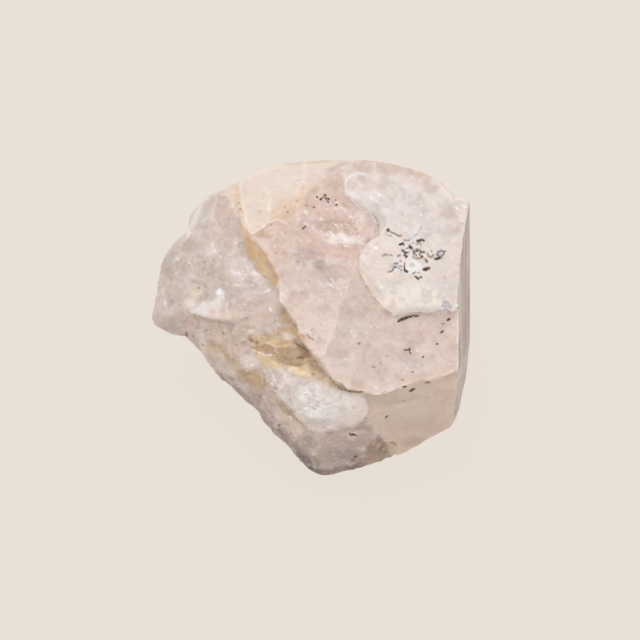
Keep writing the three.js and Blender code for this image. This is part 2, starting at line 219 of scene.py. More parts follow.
bm = bmesh.new()
bm.from_mesh(stone.data)
even_out(bm, bm.verts, MELTING)
bm.to_mesh(stone.data)
bm.free()
print("skin:", len(stone.data.vertices), "points")


# %% Reading and moving all the points at once
def points_of(mesh):
    """Every point of a mesh, in millimetres on the front face."""
    flat = np.empty(len(mesh.vertices) * 3)
    mesh.vertices.foreach_get("co", flat)
    return turned(flat.reshape(-1, 3), scene_to_face)


def normals_of(mesh):
    """Every point's outward direction, in the terms of the front face."""
    flat = np.empty(len(mesh.vertices) * 3)
    mesh.vertices.foreach_get("normal", flat)
    return flat.reshape(-1, 3) @ np.array(Matrix.Rotation(LEAN, 3, "X"))


def move_points(mesh, points):
    """Puts the points back, held inside the solid's own box."""
    placed = np.clip(turned(points, face_to_scene), np.array(cad_box[0]), np.array(cad_box[1]))
    mesh.vertices.foreach_set("co", placed.ravel())
    mesh.update()


# %% [markdown]
# ## Noise that behaves like broken crystal
# Beryl breaks in small shell-like chips. Soft noise alone looks like wax, so two kinds are used
# together: clouds for gentle unevenness, and chips, where little planes tilted at random cut into
# one another and leave crisp ridges between them. The noise module takes its seed from the clock
# when none is set, so one is set here, and the stone comes out the same every time.

# %% Clouds and chips
noise.seed_set(7)


def smooth_step(low, high, value):
    """0 below low, 1 above high, and an even rise between them."""
    t = np.clip((value - low) / (high - low), 0, 1)
    return t * t * (3 - 2 * t)


def close_to(middle, width, value):
    """1 where a value is at the middle, fading to 0 within about twice this width."""
    return np.exp(-(((value - middle) / width) ** 2))


def clouds(points, size, octaves=3, seed=0):
    """Soft noise, mostly between -1 and 1, with lumps of this size in millimetres."""
    start = Vector((17.3, -29.1, 11.7)) * seed
    places = (points / size).tolist()
    return np.array([noise.fractal(Vector(p) + start, 1.0, 2.0, octaves) for p in places])


HALF = Vector((0.5, 0.5, 0.5))  # taken off cell noise, which lies between 0 and 1, to centre it on 0


def chips(points, size, seed=0):
    """The height of little planes of this size, each tilted its own way, where they cut one another."""
    start = Vector((5.1, 13.7, -8.3)) * seed
    heights = []
    for p in (points / size).tolist():
        place = Vector(p) + start
        place += 0.35 * noise.turbulence_vector(place * 1.6, 2, False)
        planes = [
            (place - centre).dot(noise.cell_vector(centre * 9.7) - HALF)
            for centre in noise.voronoi(place)[1][:3]
        ]
        heights.append(max(planes))
    return (np.array(heights) - 0.15) * size


# %% Trying both on the skin
points = points_of(stone.data)
for kind, heights in (("clouds", clouds(points[::50], 3)), ("chips", chips(points[::50], 1.5))):
    print(kind, "reach", heights.min().round(2), "to", heights.max().round(2))

# %% [markdown]
# ## Outlines on the front face
# A broken stone is a patchwork: each face broke in its own way and has its own colour. Here every
# patch gets a name and an outline, written like a tailor's pattern, in millimetres across and up
# the face. The sculpting and the painting further down share these patterns, so a rough patch is
# also the right colour.

# %% The pattern of each patch
CROWN_RIM = [  # the crack between the pink sheet and the crown, from its lower end upwards
    (-5.8, 9.1), (-4.5, 9.7), (-3.5, 10.5), (-2.3, 11.4), (-1.7, 12.3), (-1.0, 13.1), (0.2, 14.0),
    (1.3, 15.0), (2.4, 15.6),
]
PINK_SHEET = [
    (-6.9, 8.4), (-6.2, 7.4), (-5.3, 6.4), (-4.8, 5.2), (-4.2, 4.0), (-4.05, 2.9), (-3.9, 1.7),
    (-3.0, 0.5), (-2.3, -0.7), (-1.7, -2.0), (-0.7, -3.4), (0.2, -4.5), (0.9, -5.5), (2.0, -6.4),
    (3.2, -6.9), (4.7, -7.3), (5.9, -7.4), (7.2, -7.0), (8.2, -6.6), (9.3, -6.4), (10.6, -6.0),
    (12.2, -5.5), (13.6, -5.0), (16.0, -4.4), (16.0, 11.4), (13.3, 12.5), (10.5, 14.7), (7.2, 15.8),
    (3.8, 16.1), *CROWN_RIM[::-1],
]
PALE_SHEET = [
    (2.6, 15.2), (2.5, 13.4), (2.6, 12.6), (3.1, 11.9), (3.9, 11.2), (5.0, 10.5), (5.8, 9.6), (5.9, 8.6),
    (5.1, 8.0), (4.3, 7.3), (3.9, 6.1), (4.1, 4.8), (4.7, 3.6), (5.4, 2.5), (6.1, 1.5), (7.0, 0.7),
    (8.1, 0.45), (9.3, 0.65), (10.4, 0.5), (11.8, 0.7), (13.1, 0.8), (16.0, 1.3), (16.0, 11.2),
    (14.6, 12.0), (13.3, 12.4), (11.9, 13.7), (10.5, 14.7), (9.0, 15.2), (7.2, 15.75), (5.0, 16.1),
    (3.4, 16.0),
]
PINK_SLOPE = [
    (-6.9, 8.4), (3.8, 5.4), (6.0, 8.0), (6.0, 10.0), (2.6, 12.6), (2.6, 16.2), (1.6, 15.4), (0.2, 14.0),
    (-1.7, 12.3), (-2.3, 11.4), (-3.5, 10.5), (-5.8, 9.1),
]
CROWN = [
    (-8.2, 14.2), (-8.1, 12.6), (-7.7, 11.2), (-7.5, 9.6), (-6.9, 8.5), *CROWN_RIM, (4.0, 16.6),
    (-6.0, 17.0),
]
CROWN_FOOT = [(-5.4, 10.4), (-4.2, 11.8), (-2.2, 12.4), (-1.9, 11.4), (-3.4, 9.7), (-5.0, 9.2)]
STRAP = [
    (-9.8, 13.6), (-9.4, 12.2), (-8.9, 11.9), (-8.3, 10.6), (-7.8, 9.1), (-7.6, 7.8), (-6.8, 8.5),
    (-7.5, 9.6), (-7.7, 11.2), (-8.1, 12.6), (-8.0, 14.4),
]
WEDGE = [
    (-10.4, 12.1), (-9.6, 12.2), (-8.9, 11.9), (-8.3, 10.6), (-7.8, 9.1), (-7.8, 6.4), (-9.2, 6.9),
    (-10.7, 7.0), (-11.1, 9.6), (-10.6, 11.4),
]
LOBE = [
    (-9.6, 13.2), (-12.4, 11.8), (-13.4, 9.6), (-15.0, 8.2), (-17.4, 5.6), (-17.6, -0.4), (-13.6, -1.4),
    (-13.0, 0.8), (-9.0, -0.3), (-5.6, -1.6), (-4.0, -0.6), (-4.2, 1.4), (-4.6, 3.4), (-6.4, 5.4),
    (-7.4, 7.6), (-8.2, 10.2),
]
SEAM = [
    (-7.4, 8.1), (-6.8, 8.1), (-6.0, 7.2), (-5.4, 6.5), (-4.8, 5.4), (-4.0, 3.9), (-4.3, 3.0),
    (-5.3, 4.2), (-6.4, 5.0), (-6.8, 5.8), (-7.4, 6.8),
]
LEDGE = [
    (-13.0, 0.85), (-12.3, 1.3), (-11.6, 1.75), (-10.7, 1.95), (-10.1, 2.3), (-9.8, 1.5), (-9.35, 0.8),
    (-9.0, 0.1), (-10.3, 0.0), (-11.6, 0.25), (-12.3, 0.5),
]
NOSE = [(-17.4, 2.2), (-15.0, 2.0), (-13.6, 0.6), (-13.2, -1.8), (-15.0, -2.4), (-17.8, -0.6)]
UNDER_LEDGE = [
    (-13.2, 0.7), (-11.6, 0.2), (-9.2, -0.2), (-7.8, -0.9), (-7.4, -1.8), (-7.6, -3.4), (-8.6, -4.0),
    (-10.4, -2.2), (-12.2, -1.4), (-13.6, -1.0),
]
BROWN_BAND = [
    (-11.2, -2.3), (-10.6, -2.1), (-9.4, -2.9), (-8.3, -4.0), (-7.3, -4.6), (-6.2, -4.8), (-5.2, -5.6),
    (-4.7, -6.3), (-4.8, -7.0), (-6.0, -7.0), (-6.8, -6.4), (-7.6, -5.9), (-8.5, -5.2), (-9.2, -4.2),
    (-10.3, -3.4),
]
LOW_EDGE = [
    (-10.2, -5.4), (-8.2, -6.5), (-6.8, -7.4), (-5.6, -8.6), (-4.3, -10.0), (-3.0, -11.6), (-1.8, -13.2),
    (0.4, -14.8), (0.4, -17.0), (-3.0, -15.6), (-7.4, -10.6), (-10.6, -7.2),
]
POCKET = [
    (-7.4, -1.6), (-5.6, -1.5), (-3.6, -1.2), (-2.8, -0.6), (-1.9, -2.0), (-0.8, -3.6), (0.9, -5.6),
    (3.0, -6.9), (2.4, -7.1), (0.2, -6.0), (-1.2, -5.2), (-2.6, -4.9), (-4.4, -4.3), (-6.4, -3.4),
]
CRUST = [
    (-5.4, -2.4), (-4.6, -2.9), (-3.5, -2.7), (-2.6, -2.6), (-1.9, -2.9), (-1.9, -3.5), (-1.6, -4.2),
    (-1.9, -4.7), (-3.1, -4.4), (-3.9, -4.4), (-4.7, -3.5), (-5.4, -3.4), (-7.1, -2.7),
]
WHITE_BLOCK = [
    (-5.6, -4.9), (-4.0, -4.6), (-2.8, -5.6), (-0.6, -6.0), (1.0, -6.9), (3.0, -7.2), (4.4, -7.1),
    (4.9, -8.4), (4.4, -9.6), (3.2, -10.4), (1.4, -10.9), (-0.6, -11.1), (-1.6, -10.4), (-2.9, -9.2),
    (-4.0, -7.8), (-5.2, -6.6),
]
OLIVE_BAND = [
    (-4.6, -7.8), (-3.4, -8.2), (-2.1, -9.1), (-0.9, -10.5), (-0.6, -11.2), (-1.5, -10.7), (-2.5, -9.9),
    (-3.8, -9.0),
]
TOE = [
    (-1.6, -10.8), (0.0, -11.1), (2.0, -10.9), (3.6, -10.4), (4.6, -9.8), (5.8, -11.4), (4.6, -13.2),
    (6.8, -14.4), (0.6, -16.4), (-3.0, -13.2),
]
BROWN_WEDGE = [
    (5.8, -11.4), (6.7, -12.1), (6.9, -13.0), (7.1, -13.9), (4.8, -15.0), (2.6, -14.8), (4.4, -12.9),
]
LOWER_RIGHT = [
    (4.6, -7.3), (7.2, -7.0), (13.6, -4.8), (15.6, -4.6), (14.4, -11.8), (7.2, -14.4), (6.9, -13.0),
    (6.7, -12.1), (5.8, -11.4), (4.9, -10.2), (4.9, -8.4),
]
print("corners of the pink sheet:", len(PINK_SHEET), "and of the pale sheet:", len(PALE_SHEET))


# %% How far a point is from a path or a spot, and how deep inside an outline
def from_path(points, path):
    """Distance on the face from each point to an open path, in millimetres."""
    x, y = points[:, 0], points[:, 1]
    nearest = np.full(len(points), 1e9)
    for (ax, ay), (bx, by) in zip(path, path[1:]):
        dx, dy = bx - ax, by - ay
        along = np.clip(((x - ax) * dx + (y - ay) * dy) / (dx * dx + dy * dy), 0, 1)
        nearest = np.minimum(nearest, np.hypot(x - ax - along * dx, y - ay - along * dy))
    return nearest


def from_spot(points, spot):
    """Distance on the face from each point to one spot, in millimetres."""
    return np.hypot(points[:, 0] - spot[0], points[:, 1] - spot[1])


def inside_by(points, outline):
    """How far each point lies inside an outline on the face, in millimetres; negative outside."""
    x, y = points[:, 0], points[:, 1]
    closed = outline + outline[:1]
    inside = np.zeros(len(points), bool)
    for (ax, ay), (bx, by) in zip(closed, closed[1:]):
        if ay != by:
            inside ^= ((ay > y) != (by > y)) & (x < (bx - ax) * (y - ay) / (by - ay) + ax)
    nearest = from_path(points, closed)
    return np.where(inside, nearest, -nearest)


def patch(points, outline, soft=0.3):
    """1 well inside an outline and 0 well outside, with a soft edge, at the front of the stone."""
    front = smooth_step(-7, -2, points[:, 2])
    return front * smooth_step(-soft, soft, inside_by(points, outline))


# %% [markdown]
# ## Sculpting the fracture surface
# Each patch is worked by how it broke. The pink slope and the white block are hackly, the lower
# right is almost glassy, and the pale sheet is layered. Every mark here is a small push along the
# surface's own direction, hardly ever over a quarter of a millimetre, so the large forms stay true.

# %% How rough each part of the stone is
normals = normals_of(stone.data)
growth = smooth_step(0.8, 0.9, normals[:, 0]) * smooth_step(12.9, 13.3, points[:, 0])
growth *= smooth_step(2.6, 3.2, points[:, 2])
base = smooth_step(0.4, 0.1, turned(points, face_to_scene)[:, 2] / MM)

ROUGHNESS = [  # outline, broad chips, small chips, clouds
    (LOBE, 0.12, 0.04, 0.14), (WEDGE, 0.06, 0.05, 0.05), (CROWN, 0.07, 0.05, 0.04),
    (STRAP, 0.04, 0.05, 0.04), (PINK_SHEET, 0.05, 0.05, 0.06), (PINK_SLOPE, 0.08, 0.2, 0.05),
    (PALE_SHEET, 0.05, 0.06, 0.06), (LOWER_RIGHT, 0.03, 0.02, 0.03), (TOE, 0.12, 0.08, 0.05),
    (WHITE_BLOCK, 0.14, 0.3, 0.08), (POCKET, 0.22, 0.3, 0.12), (SEAM, 0.02, 0.02, 0.04),
    (LEDGE, 0.03, 0.05, 0.04), (LOW_EDGE, 0.12, 0.06, 0.06),
]
ELSEWHERE = (0.22, 0.16, 0.08)  # the same three amounts for the rest of the stone
broad, small, cloudy = np.full((3, len(points)), np.array(ELSEWHERE)[:, None])
for outline, *amounts in ROUGHNESS:
    mask = patch(points, outline)
    for layer, amount in zip((broad, small, cloudy), amounts):
        layer += (amount - layer) * mask
for layer in (broad, small, cloudy):
    layer *= (1 - growth) * (1 - 0.6 * base)
print("broad chips from", broad.min().round(2), "to", broad.max().round(2))

# %% Chips and clouds, pushed along the surface
push = (
    broad * chips(points, 2.2, seed=4)
    + small * chips(points, 0.8, seed=5)
    + cloudy * clouds(points, 1.7, 3, seed=2)
    + 0.4 * cloudy * clouds(points, 0.5, 2, seed=3)
)
points = points + push[:, None] * normals
print("pushed by", push.min().round(2), "to", push.max().round(2), "mm")

# %% [markdown]
# The sheets are cut by planes, so their tops meet in straight creases. The real sheets roll over
# there instead. Close to each crease the skin is lowered by what a rounded ridge would lack.

# %% Rolling over the two creases on the sheets
FOLDS = [  # path of the crease, change of slope across it, depth taken off the ridge, sheet
    ([(-6.9, 8.4), (3.8, 5.2)], 0.3, 0.16, PINK_SHEET),
    ([(4.2, 7.0), (14.4, 5.8)], 0.36, 0.3, PALE_SHEET),
]
for path, slope, depth, outline in FOLDS:
    rounding = depth * np.log1p(np.exp(-slope * from_path(points, path) / depth))
    rounding *= smooth_step(0.0, 0.8, inside_by(points, outline))
    points[:, 2] -= rounding * smooth_step(4.0, 5.0, points[:, 2])
print("creases rounded:", len(FOLDS))

# %% [markdown]
# The pale sheet thins out towards its rim, and most of all at its upper end, where it runs into the
# slope with hardly any step.

# %% Wearing the pale sheet down towards its rim
def at_upper_end(points):
    """1 at the upper end of the pale sheet, and 0 over the rest of it."""
    return smooth_step(8.6, 10.0, points[:, 1]) * smooth_step(7.5, 6.0, points[:, 0])


inward = inside_by(points, PALE_SHEET)
upper_end = at_upper_end(points)
worn = (0.25 + 0.5 * upper_end) * smooth_step(0.9 + 0.6 * upper_end, 0.0, inward)
worn *= smooth_step(-0.05, 0.1, inward)
lowering = worn * smooth_step(4.0, 5.0, points[:, 2]) * (1 - growth)
points[:, 2] -= lowering * smooth_step(13.0, 12.0, points[:, 0])
print("rim worn by up to", worn.max().round(2), "mm")

# %% [markdown]
# The two raised sheets end in ragged steps, because the thin rim of a cleaved sheet chips as soon
# as it is touched. The rims are nibbled sideways with noise. The open crevice at the foot of the
# pink sheet is left a little deeper and rougher than the faces around it.

# %% Ragged rims, and the crevice at the foot of the pink sheet
for outline, reach, seed in [(PINK_SHEET, 0.22, 5), (PALE_SHEET, 0.2, 7)]:
    near = close_to(0, 0.45, inside_by(points, outline))
    near = near * smooth_step(3.0, 4.0, points[:, 2]) * (1 - growth)
    points[:, 0] += near * reach * clouds(points, 0.8, 3, seed)
    points[:, 1] += near * reach * clouds(points, 0.8, 3, seed + 1)

crevice = patch(points, POCKET, 0.5)
points[:, 2] -= crevice * 0.12 * np.abs(clouds(points, 0.9, 3, seed=9))
print("crevice covers", int((crevice > 0.5).sum()), "points")

# %% [markdown]
# The right-hand side is the only face that the crystal grew by itself. Beryl grows as a six-sided
# column, and the sides of the column carry fine grooves along its length. The grooves here are
# noise that is very long one way and very short across.

# %% Grooves along the growth face
along_column = points * np.array([1, 0.03, 1])
groove = np.abs(clouds(along_column, 0.42, 2, seed=11))
groove += 0.5 * np.abs(clouds(along_column, 0.16, 2, seed=12))
points[:, 0] -= growth * 0.07 * groove
move_points(stone.data, points)
print("grooved points:", int((growth > 0.5).sum()))

# %% [markdown]
# Where two cuts of the crevice cross, the skin is left with one pit that is too narrow to see into.
# A real one fills with dust, so its points are evened out until it is a shallow hollow.

# %% Filling the narrowest pit of the crevice with dust
PIT = (0.5, -5.5)  # its place on the face
PIT_RADIUS = 0.6
FILLING = 20  # rounds of smoothing

bm = bmesh.new()
bm.from_mesh(stone.data)
bm.verts.ensure_lookup_table()
in_pit = (from_spot(points, PIT) < PIT_RADIUS) & (points[:, 2] > 4)
pit = [bm.verts[i] for i in np.nonzero(in_pit)[0]]
even_out(bm, pit, FILLING)
bm.to_mesh(stone.data)
bm.free()
print("pit:", len(pit), "points evened out")

# %% [markdown]
# ## Specks, needles and glints
# Small dark crystals of another mineral sit in the stone, some of them needles and some of them
# rings, with rust around them. Little chips beside them catch the light as white glints, which are
# painted on as highlights. Each mark is a short pen stroke: a width, then the places that the pen passes.

# %% The strokes, by their ink
INK = [
    (0.3, [(6.74, 8.92), (6.76, 8.92)]), (0.2, [(7.91, 7.47), (8.23, 7.56)]),
    (0.1, [(8.21, 7.58), (8.33, 7.42)]), (0.22, [(9.68, 7.83), (10.09, 7.96)]),
    (0.2, [(10.09, 7.97), (10.29, 7.87)]), (0.17, [(8.88, 7.39), (8.92, 7.21), (9.1, 7.06)]),
    (0.1, [(8.95, 7.2), (9.1, 7.24)]), (0.24, [(8.18, 6.86), (8.23, 6.82)]),
    (0.24, [(8.48, 6.63), (8.38, 6.43)]), (0.17, [(8.38, 6.43), (8.59, 6.29)]),
    (0.1, [(8.31, 6.48), (8.47, 6.57)]), (0.25, [(9.73, 6.96), (10.01, 6.73)]),
    (0.12, [(9.59, 6.86), (9.73, 6.98)]), (0.22, [(10.08, 6.29), (10.11, 6.28)]),
    (0.2, [(11.49, 6.06), (11.83, 6.11)]), (0.3, [(10.4, 5.0), (10.54, 5.04)]),
    (0.14, [(10.25, 4.98), (10.58, 5.06), (10.8, 5.16)]), (0.12, [(9.49, 4.25), (9.74, 4.07)]),
    (0.12, [(9.74, 4.07), (9.97, 4.21)]), (0.22, [(8.4, 4.92), (8.6, 4.78)]),
    (0.15, [(8.33, 5.24), (8.41, 4.95)]), (0.12, [(10.5, 5.95), (10.59, 5.74)]),
    (0.17, [(10.27, 6.73), (10.31, 6.71)]), (0.18, [(-0.32, 12.24), (-0.28, 12.24)]),
    (0.2, [(0.05, 12.02), (0.12, 12.04)]), (0.16, [(0.25, 12.2), (0.29, 12.18)]),
    (0.22, [(0.5, 12.42), (0.55, 12.38)]), (0.19, [(0.56, 12.14), (0.59, 12.12)]),
    (0.18, [(0.82, 12.05), (0.86, 12.04)]), (0.14, [(0.76, 11.79), (0.78, 11.78)]),
    (0.14, [(1.54, 11.92), (1.57, 11.9)]), (0.12, [(1.32, 11.75), (1.34, 11.73)]),
    (0.17, [(1.58, 11.47), (1.66, 11.45)]), (0.15, [(-0.64, 11.2), (-0.6, 11.2)]),
    (0.13, [(-1.72, 9.05), (-1.35, 9.4)]), (0.21, [(12.62, -0.02), (12.8, 0.1)]),
    (0.17, [(11.98, -1.22), (12.16, -1.1)]), (0.18, [(11.58, -2.37), (11.62, -2.36)]),
    (0.14, [(8.35, -2.93), (8.62, -2.98), (8.9, -2.95)]), (0.11, [(8.8, -2.95), (8.94, -3.3)]),
    (0.09, [(8.78, -2.9), (8.9, -2.8)]), (0.15, [(10.16, -3.66), (10.2, -3.64)]),
    (0.14, [(8.28, -6.64), (8.42, -6.6)]), (0.15, [(8.92, -7.06), (9.16, -6.98)]),
    (0.13, [(9.1, -6.86), (9.34, -6.84)]), (0.15, [(6.53, -9.68), (6.68, -9.56)]),
    (0.17, [(2.98, -11.3), (3.1, -11.42), (3.36, -11.42)]), (0.1, [(3.3, -11.3), (3.62, -11.5)]),
    (0.14, [(3.45, -13.78), (3.62, -13.6)]),
]
UMBER = [
    (0.3, [(10.29, 5.0), (10.74, 5.1)]), (0.22, [(9.45, 4.31), (9.71, 4.09), (9.99, 4.23)]),
    (0.21, [(9.27, 6.22), (9.64, 6.07), (9.95, 6.15)]), (0.12, [(8.6, 6.67), (8.8, 6.68)]),
    (0.22, [(10.19, 6.76), (10.34, 6.7)]), (0.16, [(7.66, 6.31), (7.89, 6.41)]),
    (0.24, [(11.39, 6.05), (11.57, 6.05)]), (0.15, [(6.22, 6.36), (6.45, 6.49), (6.68, 6.45)]),
    (0.11, [(6.94, 6.45), (7.12, 6.38)]), (0.22, [(7.97, 8.34), (8.02, 8.34)]),
    (0.16, [(10.43, 6.05), (10.5, 5.91), (10.62, 5.72)]),
    (0.18, [(9.75, 7.71), (9.89, 7.64), (9.95, 7.5)]),
    (0.18, [(10.63, 6.59), (10.76, 6.31), (11.0, 6.22), (11.21, 6.41)]),
    (0.24, [(10.96, 6.23), (11.06, 6.25)]), (0.14, [(6.97, 8.37), (7.0, 8.37)]),
    (0.13, [(10.02, 9.19), (10.04, 9.18)]), (0.14, [(7.95, 5.84), (8.01, 5.82)]),
    (0.12, [(8.33, 7.91), (8.76, 7.88)]), (0.1, [(2.2, 11.62), (2.55, 11.3)]),
    (0.12, [(-1.42, 11.4), (-1.3, 11.4)]), (0.14, [(-3.5, 11.25), (-3.45, 11.2)]),
    (0.12, [(-3.25, 10.75), (-3.2, 10.72)]), (0.12, [(-2.33, 11.9), (-2.25, 11.86)]),
    (0.12, [(-6.0, 10.8), (-5.95, 10.8)]), (0.16, [(7.2, -12.2), (7.62, -12.52)]),
    (0.1, [(6.95, -12.25), (7.2, -12.25)]), (0.2, [(8.2, -6.62), (8.5, -6.58)]),
    (0.2, [(10.52, -6.22), (10.86, -6.18)]), (0.16, [(9.05, -5.1), (9.24, -5.14)]),
    (0.16, [(12.1, -0.4), (12.22, -0.38)]), (0.13, [(9.82, -0.4), (9.86, -0.38)]),
    (0.13, [(6.64, -3.5), (6.7, -3.5)]), (0.16, [(5.15, -4.6), (5.4, -4.68)]),
    (0.14, [(5.95, -4.3), (5.99, -4.3)]), (0.24, [(3.86, -2.33), (3.9, -2.3)]),
    (0.15, [(8.13, -5.9), (8.18, -5.93)]), (0.16, [(-9.7, -1.22), (-9.6, -1.3)]),
    (0.14, [(-8.32, -2.44), (-8.26, -2.46)]), (0.28, [(-13.4, -1.3), (-13.42, -1.62)]),
    (0.3, [(-6.9, -2.02), (-6.7, -2.08)]), (0.22, [(-6.3, -2.2), (-6.15, -2.26)]),
    (0.13, [(-5.9, -1.3), (-5.86, -1.3)]), (0.18, [(-2.3, -2.42), (-1.95, -2.55)]),
    (0.16, [(-1.6, -2.76), (-1.3, -2.95)]), (0.18, [(-1.95, -3.76), (-1.6, -3.8)]),
    (0.14, [(-0.76, -5.34), (-0.62, -5.4)]), (0.15, [(-1.3, -1.45), (-0.9, -1.85), (-0.7, -1.95)]),
    (0.12, [(3.42, -7.02), (3.62, -7.02)]), (0.12, [(3.9, -7.02), (4.15, -7.04)]),
    (0.12, [(-0.86, -1.0), (-0.78, -0.94)]), (0.14, [(-7.3, 0.18), (-7.26, 0.2)]),
    (0.2, [(-12.12, 3.22), (-12.06, 3.18)]), (0.14, [(14.1, 9.6), (14.14, 9.6)]),
    (0.2, [(3.2, -14.1), (3.3, -14.0)]), (0.16, [(1.3, -6.2), (2.2, -6.85), (2.9, -7.05), (4.2, -7.1)]),
    (0.14, [(-8.1, 11.7), (-8.08, 11.66)]), (0.14, [(-7.98, 11.1), (-7.94, 11.05)]),
    (0.12, [(-4.86, 9.48), (-4.8, 9.46)]), (0.12, [(-2.16, 5.76), (-2.1, 5.74)]),
    (0.12, [(-4.4, 6.68), (-4.36, 6.66)]), (0.09, [(4.4, -9.7), (4.6, -9.72)]),
    (0.13, [(-11.8, -2.4), (-11.6, -2.6)]), (0.1, [(8.35, -8.0), (8.4, -8.0)]),
]
SLATE = [
    (0.12, [(6.94, 8.79), (7.37, 8.58), (7.81, 8.34)]), (0.1, [(8.54, 7.07), (8.74, 7.17)]),
    (0.11, [(9.19, 6.85), (9.49, 7.0), (9.74, 6.94)]), (0.19, [(9.57, 6.85), (9.28, 6.5)]),
    (0.1, [(9.35, 6.85), (9.2, 6.68)]), (0.11, [(9.91, 6.61), (9.87, 6.38)]),
    (0.14, [(9.53, 6.39), (9.56, 6.39)]), (0.14, [(11.05, 6.79), (11.08, 6.78)]),
    (0.12, [(11.61, 6.55), (11.8, 6.8), (12.07, 6.87), (12.32, 6.76), (12.26, 6.53), (12.01, 6.27)]),
    (0.2, [(12.01, 6.27), (11.75, 6.25), (11.63, 6.43)]), (0.12, [(11.65, 6.73), (11.77, 6.82)]),
    (0.09, [(12.32, 6.76), (12.48, 6.82)]), (0.11, [(8.42, 5.69), (8.33, 5.39), (8.37, 5.14)]),
    (0.13, [(6.87, 4.75), (7.12, 4.85), (7.25, 5.02)]), (0.16, [(7.32, 5.19), (7.5, 5.24)]),
    (0.12, [(7.89, 5.36), (8.06, 5.28)]), (0.1, [(8.03, 4.98), (7.97, 4.93)]),
    (0.1, [(7.8, 5.08), (7.8, 5.14)]), (0.12, [(9.16, 4.55), (9.43, 4.75)]),
    (0.12, [(9.74, 4.71), (9.75, 4.67)]), (0.1, [(9.1, 7.62), (9.14, 7.6)]),
    (0.1, [(9.59, 7.54), (9.63, 7.54)]), (0.1, [(8.47, 6.15), (8.48, 6.13)]),
    (0.12, [(7.37, 5.6), (7.66, 5.62)]), (0.1, [(12.18, 1.78), (12.21, 1.77)]),
    (0.08, [(12.55, 1.74), (12.7, 1.7)]), (0.08, [(12.2, 1.02), (12.55, 0.96)]),
    (0.07, [(12.72, 0.9), (12.84, 0.86)]), (0.08, [(12.07, 1.38), (12.09, 1.36)]),
    (0.08, [(12.48, 1.36), (12.5, 1.34)]),
]
MIST = [
    (0.46, [(11.82, 6.55), (12.07, 6.63)]), (0.3, [(9.32, 6.77), (9.44, 6.82)]),
    (0.13, [(7.02, 5.34), (7.37, 5.44), (7.71, 5.54)]), (0.24, [(7.27, 5.14), (7.57, 5.29)]),
    (0.12, [(6.63, 4.72), (6.87, 4.75)]),
    (0.13, [(10.02, 9.15), (9.79, 8.68), (9.34, 8.31), (8.96, 8.05)]),
    (0.13, [(8.96, 8.03), (8.76, 7.89)]),
    (0.1, [(8.9, 5.44), (9.0, 5.56), (9.25, 5.56), (9.35, 5.42), (9.2, 5.3), (8.98, 5.32)]),
    (0.1, [(9.83, 5.79), (9.87, 5.81)]), (0.1, [(9.0, 7.81), (9.3, 7.71), (9.49, 7.52)]),
    (0.1, [(9.89, 7.52), (10.09, 7.22), (9.99, 7.02)]), (0.2, [(6.53, 8.7), (6.58, 8.51)]),
    (0.7, [(12.4, 1.6), (12.7, 1.3)]),
]
MOSS = [
    (0.26, [(7.78, -0.12), (7.95, 0.05), (8.2, 0.15)]), (0.32, [(7.95, 0.0), (8.35, 0.15), (8.6, 0.25)]),
    (0.22, [(8.6, 0.22), (9.0, 0.35)]), (0.14, [(9.2, 0.45), (9.65, 0.4)]),
    (0.14, [(9.45, 0.3), (9.8, 0.42)]),
]
